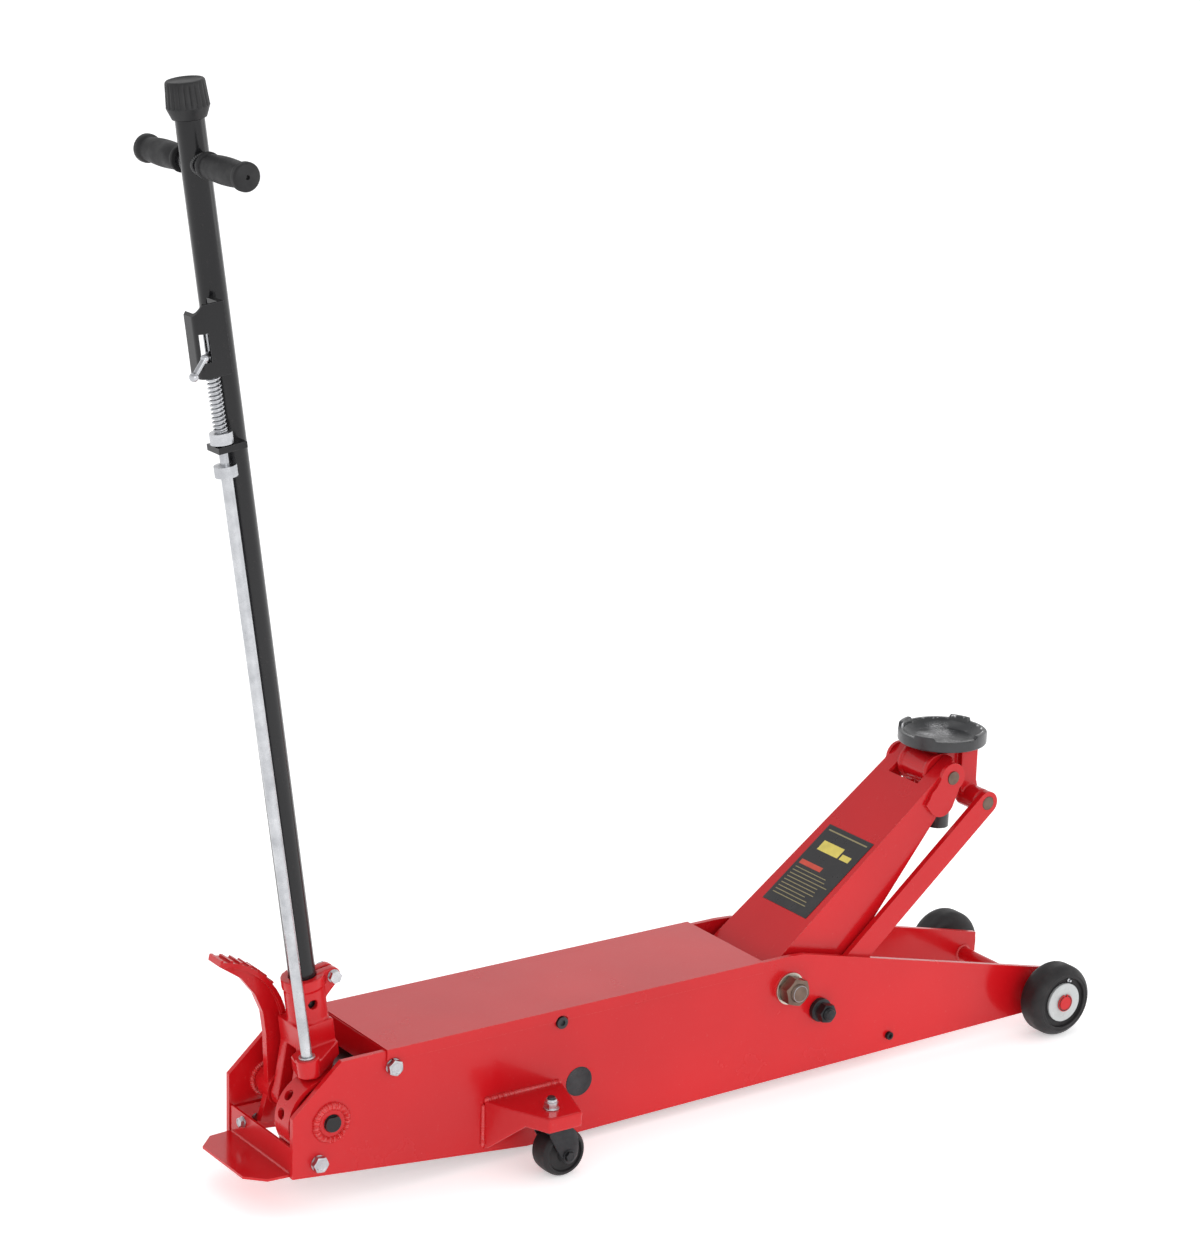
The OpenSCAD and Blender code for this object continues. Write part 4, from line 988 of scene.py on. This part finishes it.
def add_casters():
    """Swivel race, pressed cheeks, axle nuts and a wide ribbed roller, for each caster."""
    cheek = [(-0.020, 0.0795), (0.024, 0.0795), (0.0318, 0.064), (0.0345, 0.047), (0.0315, 0.030),
             (0.022, 0.0215), (0.011, 0.023), (0.001, 0.038), (-0.011, 0.060)]
    cheek = soften(cheek, 0.012, 4, True)
    crown = soften([(-0.020, -0.0246), (0.024, -0.0246), (0.024, 0.0246), (-0.020, 0.0246)], 0.003, 3, True)
    for word, side in SIDES.items():
        swivel = pivot(f"caster_swivel_{word}")
        axle = pivot(f"caster_spin_{word}")
        body = f"caster_{word}"
        base = Vector((swivel.x, swivel.y, 0))
        trail = axle.x - swivel.x
        half_width = (high(f"caster_wheel_{word}")[1] - low(f"caster_wheel_{word}")[1]) / 2
        race = soften([(0, 0.0765), (0.0245, 0.0765), (0.0262, 0.080), (0.0262, 0.0862), (0.0225, 0.0878),
                       (0.0225, 0.0892), (0.0255, 0.0903), (0.0255, 0.0952), (0.0215, 0.0984),
                       (0, 0.0984)], 0.0012, 3)
        fork = lathe(f"caster_race_{word}", race, base, (0, 0, 1), "black_oxide", body)
        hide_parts(f"caster_fork_{word}")
        plate = prism(f"caster_crown_{word}", crown, Matrix.Translation(base + Vector((0, 0, CROWN_UNDER))),
                      CROWN_THICK, "black_oxide", body)
        round_edges(plate, 0.0008)
        stud = [(0, 0.095), (0.006, 0.095), (0.006, 0.1226), (0.0052, 0.1238), (0, 0.1238)]
        lathe(f"caster_stud_{word}", stud, base, (0, 0, 1), "black_oxide", body, 48)
        for face in (-1, 1):
            inner_y = half_width + CHEEK_GAP
            hub = Vector((trail, axle.z))
            vertices = []
            rings = []
            for outer in (True, False):
                for share in CHEEK_SHARES if outer else reversed(CHEEK_SHARES):
                    lift = inner_y + (CHEEK_THICK if outer else 0) + CHEEK_BULGE * (1 - share ** 3)
                    if share == 0.0:
                        rings.append([len(vertices)])
                        vertices.append(base + Vector((hub.x, face * lift, hub.y)))
                        continue
                    rings.append(list(range(len(vertices), len(vertices) + len(cheek))))
                    for x, z in cheek:
                        point = hub.lerp(Vector((x, z)), share)
                        vertices.append(base + Vector((point.x, face * lift, point.y)))
            where = "out" if face == side else "in"
            shield = add_piece(f"caster_cheek_{word}_{where}", vertices, rings_to_faces(rings),
                               "black_oxide", body, sharp=50)
            round_edges(shield, 0.0007)
            boss = Vector((axle.x, swivel.y + face * (inner_y + CHEEK_THICK + CHEEK_BULGE - 0.0006), axle.z))
            washer(f"axle_washer_{word}_{where}", boss, out(face), 0.0098, 0.002, 0.0018, "black_oxide", body)
            hex_body(f"axle_nut_{word}_{where}", boss + out(face) * 0.0016, out(face), AXLE_FLATS, 0.0052,
                     "black_oxide", body, turn=14)
        reach = half_width + 0.005
        lathe(f"caster_axle_{word}", [(0, -reach), (0.005, -reach), (0.005, reach), (0, reach)], axle,
              (0, 1, 0), "black_oxide", body, 40)
        radius = axle.z
        half = [(0.0052, half_width), (0.0115, half_width), (0.0126, half_width - 0.0052),
                (radius - 0.0104, half_width - 0.0056), (radius - 0.0086, half_width - 0.0007),
                (radius - 0.0052, half_width - 0.0008), (radius - 0.0008, half_width - 0.0070),
                (radius, 0.0050)]
        half = soften(half, 0.0016, 3)
        profile = [(r, -h) for r, h in half] + [(r, h) for r, h in reversed(half)]
        wheel = lathe(f"caster_roller_{word}", profile, axle, (0, 1, 0), "tyre_rubber",
                      f"caster_wheel_{word}", 112, ring=True, sharp=50)
        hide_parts(f"caster_wheel_{word}")


# ---- Label --------------------------------------------------------------------------------------

FLAT_ROUGH = 0.4


def flat_material(name, colour):
    """A plain printed ink."""
    made = Nodes(name)
    tone = made.ramp(made.noise(60, 4), [(0.3, tuple(c * 0.82 for c in colour)), (0.7, colour)])
    made.link(tone, made.shader.inputs["Base Color"])
    smear = made.ramp(made.noise(80, 3), [(0.3, FLAT_ROUGH * 0.8), (0.7, FLAT_ROUGH * 1.2)])
    made.link(smear, made.shader.inputs["Roughness"])
    made.bump(made.noise(300, 2), 0.05, 0.0003)
    return made.material


LABEL_SLOPE = math.radians(37.4)


def add_label():
    """Plain printed film: a top rule, three blocks and rows of thin rules, with no lettering."""
    pale = flat_material("label_pale", (0.75, 0.62, 0.12))
    warm = flat_material("label_warm", (0.62, 0.06, 0.03))
    dim = flat_material("label_dim", (0.30, 0.25, 0.12))
    plate = NODES["label_plate"].data
    corners = sorted((Vector(v.co) for v in plate.vertices), key=lambda p: p.x * 0.5 + p.z)
    normal = Vector((-math.sin(LABEL_SLOPE), 0, math.cos(LABEL_SLOPE)))
    along = Vector((math.cos(LABEL_SLOPE), 0, math.sin(LABEL_SLOPE)))
    top = max(corner.dot(normal) for corner in corners)
    ends = [corner.dot(along) for corner in corners]
    start, end = min(ends), max(ends)
    left, right = high("label_plate")[1], low("label_plate")[1]
    length, width = end - start, left - right
    lift = 0.00012

    def mark(name, along_from, along_to, across_from, across_to, material):
        points = []
        for level in (-0.0001, lift):
            for share_a, share_c in ((along_from, across_from), (along_to, across_from),
                                     (along_to, across_to), (along_from, across_to)):
                points.append(along * (start + share_a * length) + normal * (top + level)
                              + Vector((0, left - share_c * width, 0)))
        faces = [(3, 2, 1, 0), (4, 5, 6, 7), (0, 1, 5, 4), (1, 2, 6, 5), (2, 3, 7, 6), (3, 0, 4, 7)]
        add_piece(name, points, faces, "label_film", "lift_arm", material=material)

    mark("label_rule_top", 0.935, 0.95, 0.07, 0.93, dim)
    mark("label_block_wide", 0.70, 0.82, 0.16, 0.62, pale)
    mark("label_block_short", 0.70, 0.765, 0.66, 0.86, pale)
    mark("label_block_warm", 0.49, 0.545, 0.07, 0.55, warm)
    dice = random.Random(11)
    for i in range(9):
        height = 0.44 - 0.042 * i
        mark(f"label_rule_{i}", height, height + 0.009, 0.07, 0.07 + dice.uniform(0.55, 0.86), dim)


# ---- Everything in order ------------------------------------------------------------------------

add_camera()
add_studio()
add_floor()
finish_cad_nodes()
add_pivot_fasteners()
add_zinc_bolts()
add_welds()
add_knob()
add_grips()
add_handle_welds()
add_springs()
add_rod_bush()
add_saddle()
add_castings()
add_front_wheels()
add_casters()
add_label()
